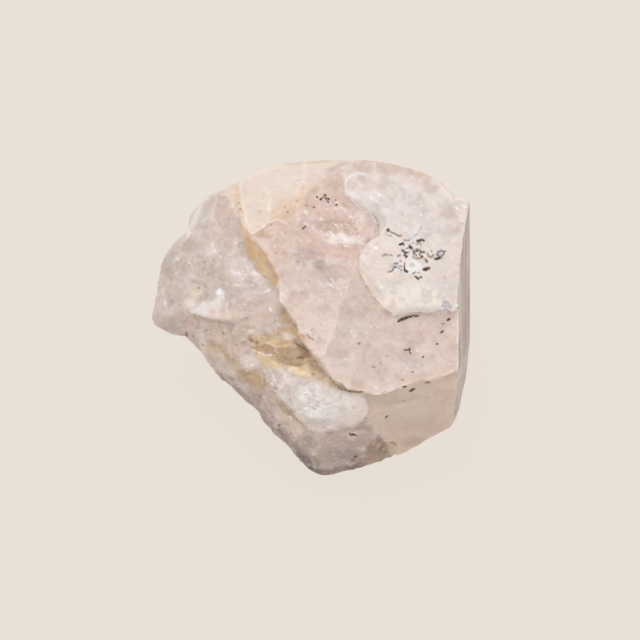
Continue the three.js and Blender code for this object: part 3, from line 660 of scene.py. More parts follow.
GLINTS = [
    (0.13, [(-7.4, 9.98), (-7.34, 9.98)]), (0.1, [(-5.15, 11.25), (-4.95, 11.0)]),
    (0.14, [(-6.7, 7.95), (-6.6, 7.85)]), (0.1, [(-4.5, 7.3), (-4.42, 7.27)]),
    (0.16, [(-14.25, 6.2), (-14.15, 6.0)]), (0.1, [(-8.6, 4.6), (-8.45, 4.45)]),
    (0.1, [(-9.95, 6.4), (-9.85, 6.2)]), (0.12, [(-8.3, 3.5), (-8.0, 3.36)]),
    (0.12, [(-6.72, 3.42), (-6.68, 3.42)]), (0.14, [(-5.35, 2.85), (-4.98, 3.02)]),
    (0.15, [(-5.0, 1.2), (-4.8, 0.95)]), (0.1, [(-7.6, 1.62), (-7.35, 1.55)]),
    (0.14, [(-15.55, 1.9), (-15.42, 1.5)]), (0.08, [(-13.1, 5.85), (-12.98, 5.65)]),
    (0.08, [(-11.7, 5.6), (-11.6, 5.35)]), (0.1, [(-8.4, 7.7), (-8.3, 7.6)]),
    (0.08, [(-8.75, 6.8), (-8.65, 6.7)]), (0.2, [(3.05, 10.25), (3.1, 10.3)]),
    (0.13, [(2.45, 10.85), (2.5, 10.8)]), (0.12, [(3.9, 9.1), (4.1, 9.2)]),
    (0.28, [(5.56, 7.14), (5.62, 7.1)]), (0.28, [(6.05, 3.26), (6.1, 3.22)]),
    (0.17, [(8.62, 9.92), (8.68, 9.88)]), (0.15, [(9.96, 11.4), (10.04, 11.4)]),
    (0.18, [(10.0, 10.5), (10.08, 10.46)]), (0.13, [(7.84, 9.5), (7.92, 9.46)]),
    (0.14, [(11.2, 1.88), (11.28, 1.88)]), (0.22, [(13.5, 1.4), (13.6, 1.5)]),
    (0.18, [(7.2, 0.55), (7.4, 0.52)]), (0.11, [(3.0, -1.1), (3.2, -1.45), (3.4, -1.7)]),
    (0.06, [(4.85, -0.5), (5.35, -0.95)]), (0.06, [(5.3, -0.35), (5.75, -0.7)]),
    (0.09, [(2.36, -1.08), (2.42, -1.08)]), (0.13, [(2.45, -3.8), (2.56, -3.9)]),
    (0.07, [(4.4, -1.1), (4.7, -1.4)]), (0.12, [(9.55, -3.02), (9.75, -3.1)]),
    (0.1, [(10.95, -7.47), (11.05, -7.4)]), (0.12, [(5.3, -7.28), (5.9, -7.32)]),
    (0.1, [(6.3, -7.25), (6.7, -7.15)]), (0.18, [(-1.5, -7.2), (-1.3, -7.1)]),
    (0.2, [(-0.9, -9.15), (-0.7, -9.1)]), (0.22, [(-2.93, -9.62), (-2.87, -9.88)]),
    (0.13, [(-5.65, -7.62), (-5.55, -7.75)]), (0.1, [(-3.85, -10.6), (-3.85, -10.72)]),
    (0.08, [(-3.2, -11.1), (-3.17, -11.25)]), (0.08, [(-4.35, -10.3), (-4.35, -10.4)]),
    (0.14, [(-6.85, -4.45), (-6.75, -4.52)]), (0.1, [(-6.1, -3.22), (-5.95, -3.28)]),
    (0.1, [(-5.0, -3.42), (-4.8, -3.54)]), (0.08, [(1.4, -13.8), (1.8, -13.85)]),
    (0.1, [(4.3, -12.9), (4.36, -12.9)]),
]
ALL_MARKS = INK + UMBER + SLATE + MIST + MOSS + GLINTS
print("strokes:", len(ALL_MARKS))


# %% How deep a point lies inside a stroke
def drawn(points, marks):
    """How deep each point lies inside the nearest of these strokes; negative outside."""
    depth = np.full(len(points), -9.0)
    for width, path in marks:
        depth = np.maximum(depth, width / 2 - from_path(points, path))
    return depth


# %% [markdown]
# ## Spending the triangles where they are seen
# The even skin has more triangles than the back needs. A Decimate modifier thins it, and a vertex
# group tells it to take most of them from the faces that look away. That leaves some long thin
# triangles, which catch the light badly, so the back is evened once and its diagonals are turned to
# the better side. Then the mesh is cut finer again, only under the small marks, because they are
# painted on the points and need a few points each.

# %% Thinning the back and refining under the strokes
THINNED = 0.6  # share of the triangles that stays
BACK = -0.5  # the back lies behind this, in millimetres out of the face's middle
turned_away = smooth_step(-0.1, -0.6, normals_of(stone.data)[:, 2])
hidden = smooth_step(1.0, -1.0, points_of(stone.data)[:, 2]) * (0.4 + 0.6 * turned_away)
group = stone.vertex_groups.new(name="thin here")
for level in range(1, 11):
    band = np.nonzero(np.round(hidden * 10) == level)[0]
    group.add(band.tolist(), level / 10, "REPLACE")
thinning = stone.modifiers.new("thinning", "DECIMATE")
thinning.ratio = THINNED
thinning.vertex_group = group.name
thinning.vertex_group_factor = 1.5
apply_modifiers(stone)
stone.vertex_groups.clear()
print("after thinning:", sum(len(p.vertices) - 2 for p in stone.data.polygons), "triangles")

bm = bmesh.new()
bm.from_mesh(stone.data)
bmesh.ops.triangulate(bm, faces=bm.faces)
behind = turned(np.array([v.co[:] for v in bm.verts]), scene_to_face)[:, 2] < BACK
back_verts = [v for v in bm.verts if behind[v.index]]
back_faces = [f for f in bm.faces if all(behind[v.index] for v in f.verts)]
back_edges = [e for e in bm.edges if all(behind[v.index] for v in e.verts)]
even_out(bm, back_verts)
bmesh.ops.beautify_fill(bm, faces=back_faces, edges=back_edges, method="ANGLE")
for marks, reach in ((ALL_MARKS, 0.12), (INK + SLATE + MOSS, 0.05)):
    places = turned(np.array([v.co[:] for v in bm.verts]), scene_to_face)
    marked = (drawn(places, marks) > -reach) & (places[:, 2] > -1)
    bm.verts.ensure_lookup_table()
    edges = [e for e in bm.edges if marked[e.verts[0].index] or marked[e.verts[1].index]]
    bmesh.ops.subdivide_edges(bm, edges=edges, cuts=1)
    bm.verts.index_update()
bmesh.ops.triangulate(bm, faces=bm.faces)
bm.to_mesh(stone.data)
bm.free()
move_points(stone.data, points_of(stone.data))
stone.data.shade_smooth()
print("after refining:", len(stone.data.polygons), "triangles")

# %% [markdown]
# ## Painting the colour into the stone
# Morganite takes its pink from manganese, and iron stains it peach and amber. No two patches of
# this lump are quite alike, so the colour is laid on in washes, patch by patch, as a watercolour
# is: a pale ground first, then the tint of each break, then blooms and stains, then the specks.
# The washes are kept as a colour on every point of the mesh, which the material reads.

# %% The ground colour, which also covers the back
points = points_of(stone.data)
normals = normals_of(stone.data)
front = smooth_step(-6, -1.5, points[:, 2])


def wash(mask, colour):
    """Lays a colour over the tint, as strongly as the mask says."""
    tint[:] = tint + (srgb(colour) - tint) * np.clip(mask, 0, 1)[:, None]


drift = clouds(points, 5.5, 3, seed=21)
mottle = clouds(points, 1.5, 4, seed=22)
grain = clouds(points, 0.5, 3, seed=23)
tint = np.tile(srgb("#d4c4ba"), (len(points), 1))
wash(smooth_step(0.0, 0.5, drift), "#dfcbbd")
wash(smooth_step(0.05, 0.6, -drift), "#cbbcb4")
wash(0.6 * smooth_step(0.1, 0.7, mottle), "#e2d4cb")
wash(0.5 * smooth_step(0.15, 0.7, -mottle), "#c4b0a1")
vein = close_to(0, 0.035, clouds(points, 6.5, 3, seed=24))
vein *= smooth_step(-0.2, 0.3, clouds(points, 4.0, 2, seed=25))
wash(0.55 * vein * (1 - front), "#c4a07c")
print("ground laid, veins on", int((vein > 0.5).sum()), "points")

# %% [markdown]
# The edge of a patch is a crack, so it wanders. Before a wash goes on, the points are shifted a
# little with noise, and the straight lines of the pattern come out ragged.

# %% The tint of each patch
wander = points.copy()
for axis in (0, 1):
    wander[:, axis] += 0.22 * clouds(points, 1.1, 3, seed=26 + axis)

PATCH_TINTS = [
    (LOBE, "#cec0b9", 0.5), (WEDGE, "#cebcb2", 0.15), (STRAP, "#ddc7b4", 0.15),
    (CROWN, "#e1d3c8", 0.12), (CROWN_FOOT, "#ddc9bb", 0.25), (NOSE, "#cabdb6", 0.5),
    (UNDER_LEDGE, "#d7c3b7", 0.3), (BROWN_BAND, "#c5ac8f", 0.5), (POCKET, "#dabd99", 0.4),
    (CRUST, "#c0a480", 0.12), (OLIVE_BAND, "#b3a084", 0.25), (WHITE_BLOCK, "#e1d7d3", 0.15),
    (TOE, "#bcaba2", 0.2), (LOWER_RIGHT, "#d6c2b6", 0.12), (BROWN_WEDGE, "#a58c7c", 0.06),
    (LOW_EDGE, "#a28e86", 0.5), (LEDGE, "#e8e2e1", 0.15), (SEAM, "#ddba8e", 0.1),
]
for outline, colour, soft in PATCH_TINTS:
    wash(patch(wander, outline, soft), colour)

on_sheet = smooth_step(2.6, 3.4, points[:, 2])
pink_sheet = patch(points, PINK_SHEET, 0.12) * on_sheet
upper_end = at_upper_end(points)
pale_sheet = patch(points, PALE_SHEET, 0.1) * (1 - upper_end)
pale_sheet += patch(wander, PALE_SHEET, 0.5) * upper_end
pale_sheet *= on_sheet
wash(pink_sheet, "#ddcac1")
wash(pink_sheet * patch(wander, PINK_SLOPE, 0.5), "#dabfb5")
wash(pale_sheet, "#dfd5d0")
print("patches painted:", len(PATCH_TINTS) + 2)

# %% [markdown]
# Inside each patch the colour blooms: a milky cloud here, a peach stain there, a bluish shadow
# where the crystal is clear enough to look into. Each bloom is a round spot with a ragged edge. One pale
# bloom under the pink sheet's lower step is painted light that lifts the shade there.

# %% Blooms and stains inside the patches
BLOOMS = [  # x, y, width, height, colour, strength
    (-9.8, 11.8, 1.6, 1.4, "#bca89f", 0.7), (-9.2, 12.9, 1.0, 1.2, "#decfc4", 0.7),
    (-7.5, 8.7, 0.8, 1.6, "#debe9b", 0.7), (-4.0, 14.0, 5.0, 2.4, "#e4d8cf", 0.6),
    (-0.4, 14.6, 2.6, 1.8, "#dfd0c7", 0.6), (-5.2, 8.6, 2.8, 0.8, "#caae96", 0.65),
    (-6.0, 10.4, 1.6, 1.6, "#d7c5b2", 0.5), (-6.6, 7.4, 1.0, 1.2, "#e0be96", 0.5),
    (-5.0, 5.2, 0.9, 1.6, "#e4c49b", 0.6), (-13.0, 7.4, 1.6, 1.5, "#bcb0a5", 0.85),
    (-13.8, 5.4, 1.5, 1.8, "#baafa4", 0.8), (-15.2, 5.4, 1.6, 3.0, "#afa59d", 0.7),
    (-11.3, 5.0, 1.5, 2.0, "#c0b2a6", 0.8), (-9.7, 3.8, 1.9, 1.6, "#c4b4a6", 0.7),
    (-8.0, 5.2, 2.6, 2.4, "#eadcda", 0.75), (-6.0, 4.1, 1.7, 1.5, "#e4d5d2", 0.7),
    (-6.6, 2.2, 2.6, 1.4, "#d0bbb1", 0.7), (-10.8, 7.2, 1.6, 2.2, "#d6cac4", 0.6),
    (-8.6, 8.2, 1.4, 2.0, "#d2beb4", 0.6), (-10.7, 7.5, 0.5, 0.9, "#e8e0de", 0.7),
    (-10.5, 6.8, 0.4, 0.5, "#f0ebea", 0.8), (-15.7, 1.7, 0.9, 0.9, "#d0cac6", 0.9),
    (-12.4, 2.6, 1.1, 1.0, "#f3e1cb", 0.8), (-12.9, 1.7, 1.5, 1.4, "#e9dbd1", 0.85),
    (-7.4, 0.8, 4.0, 1.4, "#e7d3c6", 0.5), (-5.6, 0.3, 2.8, 1.6, "#e6d0c2", 0.6),
    (-12.1, -1.3, 1.2, 2.2, "#d6ccc3", 0.6), (-15.2, -0.8, 1.6, 1.2, "#c5b9b0", 0.7),
    (-9.6, -1.4, 3.0, 1.7, "#dfccbf", 0.6), (-9.5, -4.9, 1.6, 1.0, "#d6cbc2", 0.75),
    (-10.9, -3.9, 1.2, 0.9, "#c8baae", 0.7), (-6.9, -5.6, 2.6, 1.0, "#c0a688", 0.6),
    (-9.2, -5.7, 1.2, 0.8, "#bba99c", 0.6), (-5.6, -1.6, 1.4, 0.6, "#ccb294", 0.6),
    (-4.4, -1.6, 1.6, 0.8, "#c7ab8d", 0.7), (-2.5, -0.9, 1.0, 1.0, "#debe9e", 0.6),
    (-4.6, -5.6, 2.2, 1.2, "#cdbcad", 0.6), (0.5, -9.2, 3.0, 1.4, "#f3f1f2", 0.8),
    (-1.2, -7.2, 1.8, 1.2, "#e2dad6", 0.7), (2.6, -8.2, 2.6, 2.0, "#e2d7d0", 0.6),
    (-0.6, -8.5, 0.7, 0.5, "#c4bab4", 0.7), (0.6, -10.4, 3.0, 1.0, "#d8d1cb", 0.7),
    (3.6, -9.4, 2.0, 1.2, "#e4dace", 0.7), (-1.4, -12.2, 2.0, 2.0, "#aea29a", 0.6),
    (2.6, -13.6, 3.6, 1.4, "#9e9492", 0.8), (3.8, -11.2, 1.6, 1.2, "#bca391", 0.6),
    (5.7, -9.7, 1.9, 2.6, "#dbc9be", 0.6), (12.4, -7.2, 2.6, 2.6, "#d3c1b5", 0.5),
    (10.0, -10.4, 3.6, 2.4, "#c8b5a8", 0.5), (-4.2, 6.0, 3.0, 3.4, "#d8b9aa", 0.6),
    (-1.6, 2.6, 2.2, 4.2, "#e3d0c8", 0.7), (0.2, 3.4, 3.2, 2.6, "#dcccc5", 0.6),
    (-0.1, 5.45, 1.7, 1.4, "#b4a39b", 0.85), (-0.43, 1.1, 1.1, 1.1, "#b2a39f", 0.85),
    (1.4, 4.6, 2.0, 2.0, "#c7afa8", 0.5), (3.4, 1.6, 3.0, 2.6, "#d8c6bd", 0.6),
    (6.6, -4.8, 3.4, 2.4, "#e2d2cb", 0.6), (8.6, -1.2, 4.0, 2.0, "#dbc6bc", 0.7),
    (12.4, -2.2, 2.4, 3.8, "#e0cec5", 0.6), (9.6, -4.0, 2.6, 1.4, "#d5c8c2", 0.6),
    (6.6, -6.6, 5.0, 0.8, "#e0d0c9", 0.6), (3.6, 7.0, 2.4, 1.6, "#dec6ba", 0.5),
    (2.4, 9.8, 3.4, 2.0, "#d4b8ae", 0.6), (0.8, 13.2, 2.6, 2.0, "#ceb6ab", 0.6),
    (-1.6, 9.2, 2.6, 1.8, "#dbc4bc", 0.6), (-14.6, 0.9, 3.2, 1.3, "#d9cfc9", 0.8),
    (3.9, 13.9, 1.4, 1.1, "#c8b4ad", 0.8), (-7.0, -0.6, 2.8, 1.5, "#ead6c6", 0.8),
    (11.2, 13.2, 1.6, 1.8, "#d9cbc3", 0.7), (7.0, 11.6, 7.0, 3.8, "#ddd6d5", 0.8),
    (13.6, 11.4, 1.6, 1.2, "#d2c9c8", 0.8), (13.5, 10.9, 1.7, 0.8, "#c8b7b0", 0.6),
    (13.2, 9.4, 1.9, 2.2, "#ccbbb5", 0.7), (10.8, 9.4, 3.4, 2.0, "#dcd5d3", 0.7),
    (5.2, 8.8, 1.5, 1.3, "#dfd0c6", 0.6), (9.2, 5.6, 4.4, 4.2, "#eae3e0", 0.6),
    (9.2, 5.4, 2.0, 1.9, "#f1efef", 0.8), (12.6, 6.8, 2.6, 2.8, "#dfd5d0", 0.6),
    (9.2, 4.1, 1.9, 0.9, "#ecddce", 0.7), (6.2, 4.6, 2.0, 4.4, "#e6d9cd", 0.6),
    (9.4, 2.4, 5.0, 2.6, "#eee7e1", 0.8), (6.6, 1.4, 1.4, 0.8, "#faefdf", 0.7),
    (5.5, 7.15, 0.7, 0.6, "#eee0c8", 0.7), (13.2, 2.6, 1.4, 1.6, "#ddd4d0", 0.6),
    # The bloom at 12.0 across and -6.3 up, on the line below, is painted light that lifts the shade under
    # the pink sheet's lower step.
    (12.4, 1.4, 1.4, 1.1, "#eee9ea", 0.6), (12.0, -6.3, 4.2, 1.2, "#e8d2c6", 0.7),
    (9.0, -8.8, 4.4, 2.4, "#ddcdc2", 0.6), (3.2, -11.4, 3.4, 1.1, "#cdbcb2", 0.8),
    (3.4, -8.0, 2.2, 1.8, "#f0e6de", 0.7), (-6.6, -7.9, 2.0, 1.6, "#a49087", 0.7),
    (-1.0, -14.2, 2.2, 1.4, "#948881", 0.8), (8.6, 13.4, 2.6, 0.9, "#dfdad9", 0.6),
    (4.6, 12.4, 1.8, 0.9, "#dbd2d0", 0.6), (-9.4, 0.5, 3.4, 2.2, "#f0e0d7", 0.75),
    (-13.4, 3.1, 1.6, 1.2, "#d8ccc3", 0.5), (-9.0, 3.3, 1.6, 1.2, "#dfd0c8", 0.5),
    (-4.7, 1.6, 1.4, 2.2, "#e4cdba", 0.5), (1.1, 9.2, 3.2, 1.6, "#bea193", 0.6),
    (-2.0, 6.2, 3.6, 2.2, "#c6aea5", 0.65), (5.8, 13.6, 4.8, 1.4, "#c6b8b2", 0.65),
    (12.8, 10.6, 2.4, 2.4, "#d2c4be", 0.5), (9.2, 12.0, 2.2, 1.4, "#d4cbc9", 0.5),
    (5.4, 10.6, 2.4, 1.2, "#e9e0db", 0.5), (7.5, 1.8, 5.0, 1.8, "#f1e6db", 0.6),
    (11.0, 1.6, 3.0, 1.3, "#f0e9e5", 0.5), (-4.6, -7.4, 1.8, 1.6, "#beaca0", 0.6),
    (0.8, -12.0, 3.2, 1.3, "#cabbb1", 0.6), (9.0, -6.9, 4.6, 1.5, "#e6d5ca", 0.6),
    (9.6, -12.2, 3.4, 1.3, "#b8a599", 0.55), (5.8, -13.2, 3.4, 1.3, "#9e8b7f", 0.5),
    (-12.3, 3.0, 1.8, 1.1, "#f3e5d9", 0.7), (3.9, 13.6, 3.0, 1.2, "#c6b8b4", 0.5),
    (12.9, 10.4, 2.2, 1.6, "#c8b9b3", 0.75), (9.3, 12.2, 2.0, 1.4, "#cbc1be", 0.4),
    (-1.6, 6.3, 5.0, 1.8, "#bea79e", 0.5), (0.8, 4.6, 3.4, 1.6, "#ccbab3", 0.4),
    (8.6, 2.6, 6.4, 2.8, "#f5eee9", 0.45), (0.9, 2.9, 2.6, 1.3, "#eadad4", 0.5),
    (1.5, 0.0, 2.0, 1.6, "#c8b8b1", 0.6), (-7.6, -3.1, 1.4, 0.9, "#c4b2a3", 0.5),
    (7.2, 1.6, 3.0, 1.4, "#faf0e6", 0.5), (-7.8, -6.0, 1.6, 0.8, "#b69e8a", 0.5),
    (-13.6, -1.2, 1.2, 1.2, "#baaca2", 0.5), (-0.6, -7.3, 2.4, 1.0, "#ccc3bd", 0.6),
    (-8.9, -5.9, 1.4, 0.6, "#a08e86", 0.7), (-3.4, -11.4, 1.0, 1.4, "#a09188", 0.5),
    (-2.9, -9.2, 0.9, 0.9, "#a89684", 0.5), (-3.2, -1.6, 1.3, 0.7, "#e9dfd5", 0.8),
    (-3.6, 0.3, 1.2, 1.4, "#d4b28a", 0.6), (-4.2, -0.9, 1.2, 0.6, "#cdac8a", 0.55),
    (-2.6, -3.2, 1.0, 0.7, "#cab7a1", 0.7), (6.0, 10.5, 1.8, 1.4, "#e8e1de", 0.6),
    (9.0, 9.0, 2.0, 1.6, "#eeeae8", 0.6), (7.4, 4.4, 1.6, 1.4, "#f3eae1", 0.55),
    (4.6, 6.2, 1.2, 1.6, "#f2eae6", 0.5), (-13.4, 0.0, 1.4, 1.2, "#d4c4b8", 0.6),
    (3.0, 15.1, 2.0, 1.0, "#cebbb0", 0.5), (9.0, 12.1, 1.8, 1.2, "#d4c5be", 0.5),
    (1.5, 9.1, 1.6, 1.0, "#d0aea2", 0.5), (-4.5, 9.1, 1.6, 0.7, "#ceb29e", 0.6),
    (-1.6, -1.5, 1.0, 1.2, "#c8a482", 0.6), (-4.5, -6.1, 1.2, 1.2, "#cebcae", 0.55),
    (-3.0, -12.0, 1.2, 1.0, "#98877c", 0.5), (-2.0, -4.7, 1.0, 0.8, "#ba9e82", 0.6),
    (-4.2, -4.1, 1.2, 0.5, "#ae8c66", 0.5),
]


def across_oval(x, y, width, height):
    """How far out each point lies from an oval's middle, where 1 is its rim."""
    return np.hypot((wander[:, 0] - x) / (width / 2), (wander[:, 1] - y) / (height / 2))


for *oval, colour, strength in BLOOMS:
    wash(strength * front * smooth_step(1.25, 0.5, across_oval(*oval) + 0.3 * mottle), colour)
print("blooms:", len(BLOOMS))

# %% [markdown]
# Some breaks are flat and shine as one small plane of their own colour, so they are laid on as
# outlines with a crisper edge than a bloom has.

# %% Small flat facets
FACETS = [  # colour, softness of the edge, strength, outline
    ("#e0dcdd", 0.15, 0.8, [(-11.3, 12.6), (-12.0, 11.6), (-13.1, 10.2), (-13.5, 8.8), (-13.0, 8.5),
     (-12.4, 9.6), (-11.4, 11.4), (-11.0, 12.2)]),
    ("#e2c9b2", 0.07, 0.85, [(-4.8, 10.7), (-3.5, 11.2), (-2.3, 12.0), (-1.9, 13.4), (-1.2, 13.5),
     (-1.8, 12.1), (-2.1, 10.5), (-3.3, 9.5), (-4.2, 9.8), (-4.7, 10.2)]),
    ("#f0e7e5", 0.15, 0.6, [(0.4, 7.7), (1.3, 8.3), (2.2, 8.9), (2.4, 8.3), (3.6, 7.9), (4.5, 8.3),
     (4.2, 7.5), (3.0, 7.6), (1.9, 7.6), (1.1, 7.5)]),
    ("#ead9d0", 0.15, 0.75, [(-2.9, 0.6), (-1.2, 2.6), (2.0, 1.3), (1.4, -0.8), (0.4, -3.4), (-0.2, -3.9),
     (-1.6, -2.0), (-2.2, -0.7)]),
    ("#d5c6bf", 0.2, 0.75, [(2.0, 1.3), (4.2, 0.6), (5.6, -1.2), (4.4, -3.8), (1.6, -5.2), (0.5, -3.6),
     (1.4, -0.8)]),
    ("#e0d4cb", 0.12, 0.8, [(-8.3, -3.9), (-7.2, -3.5), (-6.4, -3.7), (-6.0, -4.6), (-6.6, -4.95),
     (-7.3, -4.75), (-8.0, -4.1)]),
    ("#e7cda3", 0.12, 0.85, [(-6.4, -3.5), (-5.6, -3.65), (-4.8, -3.55), (-4.5, -3.95), (-3.9, -4.5),
     (-4.1, -4.8), (-4.65, -4.95), (-5.65, -4.65), (-6.1, -3.95)]),
    ("#ecd5b0", 0.12, 0.85, [(-3.1, -4.5), (-2.4, -4.65), (-1.9, -4.75), (-1.4, -4.4), (-1.05, -4.8),
     (-0.8, -5.1), (-0.95, -5.55), (-1.85, -5.7), (-2.35, -5.5), (-3.2, -4.95)]),
    ("#987852", 0.15, 0.75, [(-2.9, -1.9), (-2.2, -1.7), (-1.6, -2.3), (-1.2, -2.9), (-1.1, -3.5),
     (-1.5, -3.7), (-2.1, -3.8), (-1.9, -3.2), (-2.4, -2.5)]),
    ("#d1b89a", 0.08, 0.85, [(-1.1, -2.9), (-0.7, -3.0), (-0.15, -3.8), (-0.45, -4.1), (-0.95, -3.7)]),
    ("#bc9d78", 0.08, 0.85, [(-1.45, -4.15), (-1.05, -3.9), (-0.45, -4.15), (-0.3, -4.65), (0.0, -4.95),
     (-0.8, -5.15), (-1.05, -4.8)]),
    ("#c4a986", 0.08, 0.85, [(-0.65, -5.55), (-0.85, -5.3), (0.0, -5.0), (0.65, -5.7), (-0.05, -6.05)]),
    ("#d9cec6", 0.12, 0.75, [(-10.4, -4.3), (-9.9, -4.1), (-9.2, -4.5), (-8.5, -5.2), (-8.4, -5.7),
     (-9.2, -5.6), (-10.0, -5.0)]),
    ("#c9b79d", 0.1, 0.8, [(6.6, -12.3), (7.0, -12.2), (7.7, -13.3), (7.3, -13.8), (6.9, -13.2)]),
    ("#e7e1e2", 0.15, 0.8, [(-10.5, 2.7), (-9.95, 3.2), (-9.35, 2.85), (-9.0, 2.3), (-9.2, 2.0),
     (-10.0, 2.1)]),
    ("#d4c8c3", 0.25, 0.5, [(8.6, -3.2), (11.0, -3.8), (10.0, -5.2), (7.6, -4.4)]),
    ("#f9f7f7", 0.1, 0.8, [(-10.4, 2.7), (-9.9, 3.15), (-9.5, 2.8), (-10.0, 2.45)]),
    ("#d0c4c0", 0.08, 0.7, [(3.5, 14.4), (4.3, 14.5), (4.6, 13.7), (3.9, 13.4), (3.4, 13.8)]),
    ("#b2a59f", 0.08, 0.5, [(-0.85, 5.5), (-0.4, 6.0), (0.3, 6.0), (0.65, 5.5), (0.3, 5.0),
     (-0.5, 5.05)]),
    ("#e8ccb0", 0.1, 0.6, [(-1.7, 13.0), (-0.7, 13.45), (-0.1, 13.7), (-1.1, 12.9), (-1.8, 12.2)]),
]
for colour, soft, strength, outline in FACETS:
    wash(strength * patch(points + 0.5 * (wander - points), outline, soft), colour)
print("facets:", len(FACETS))
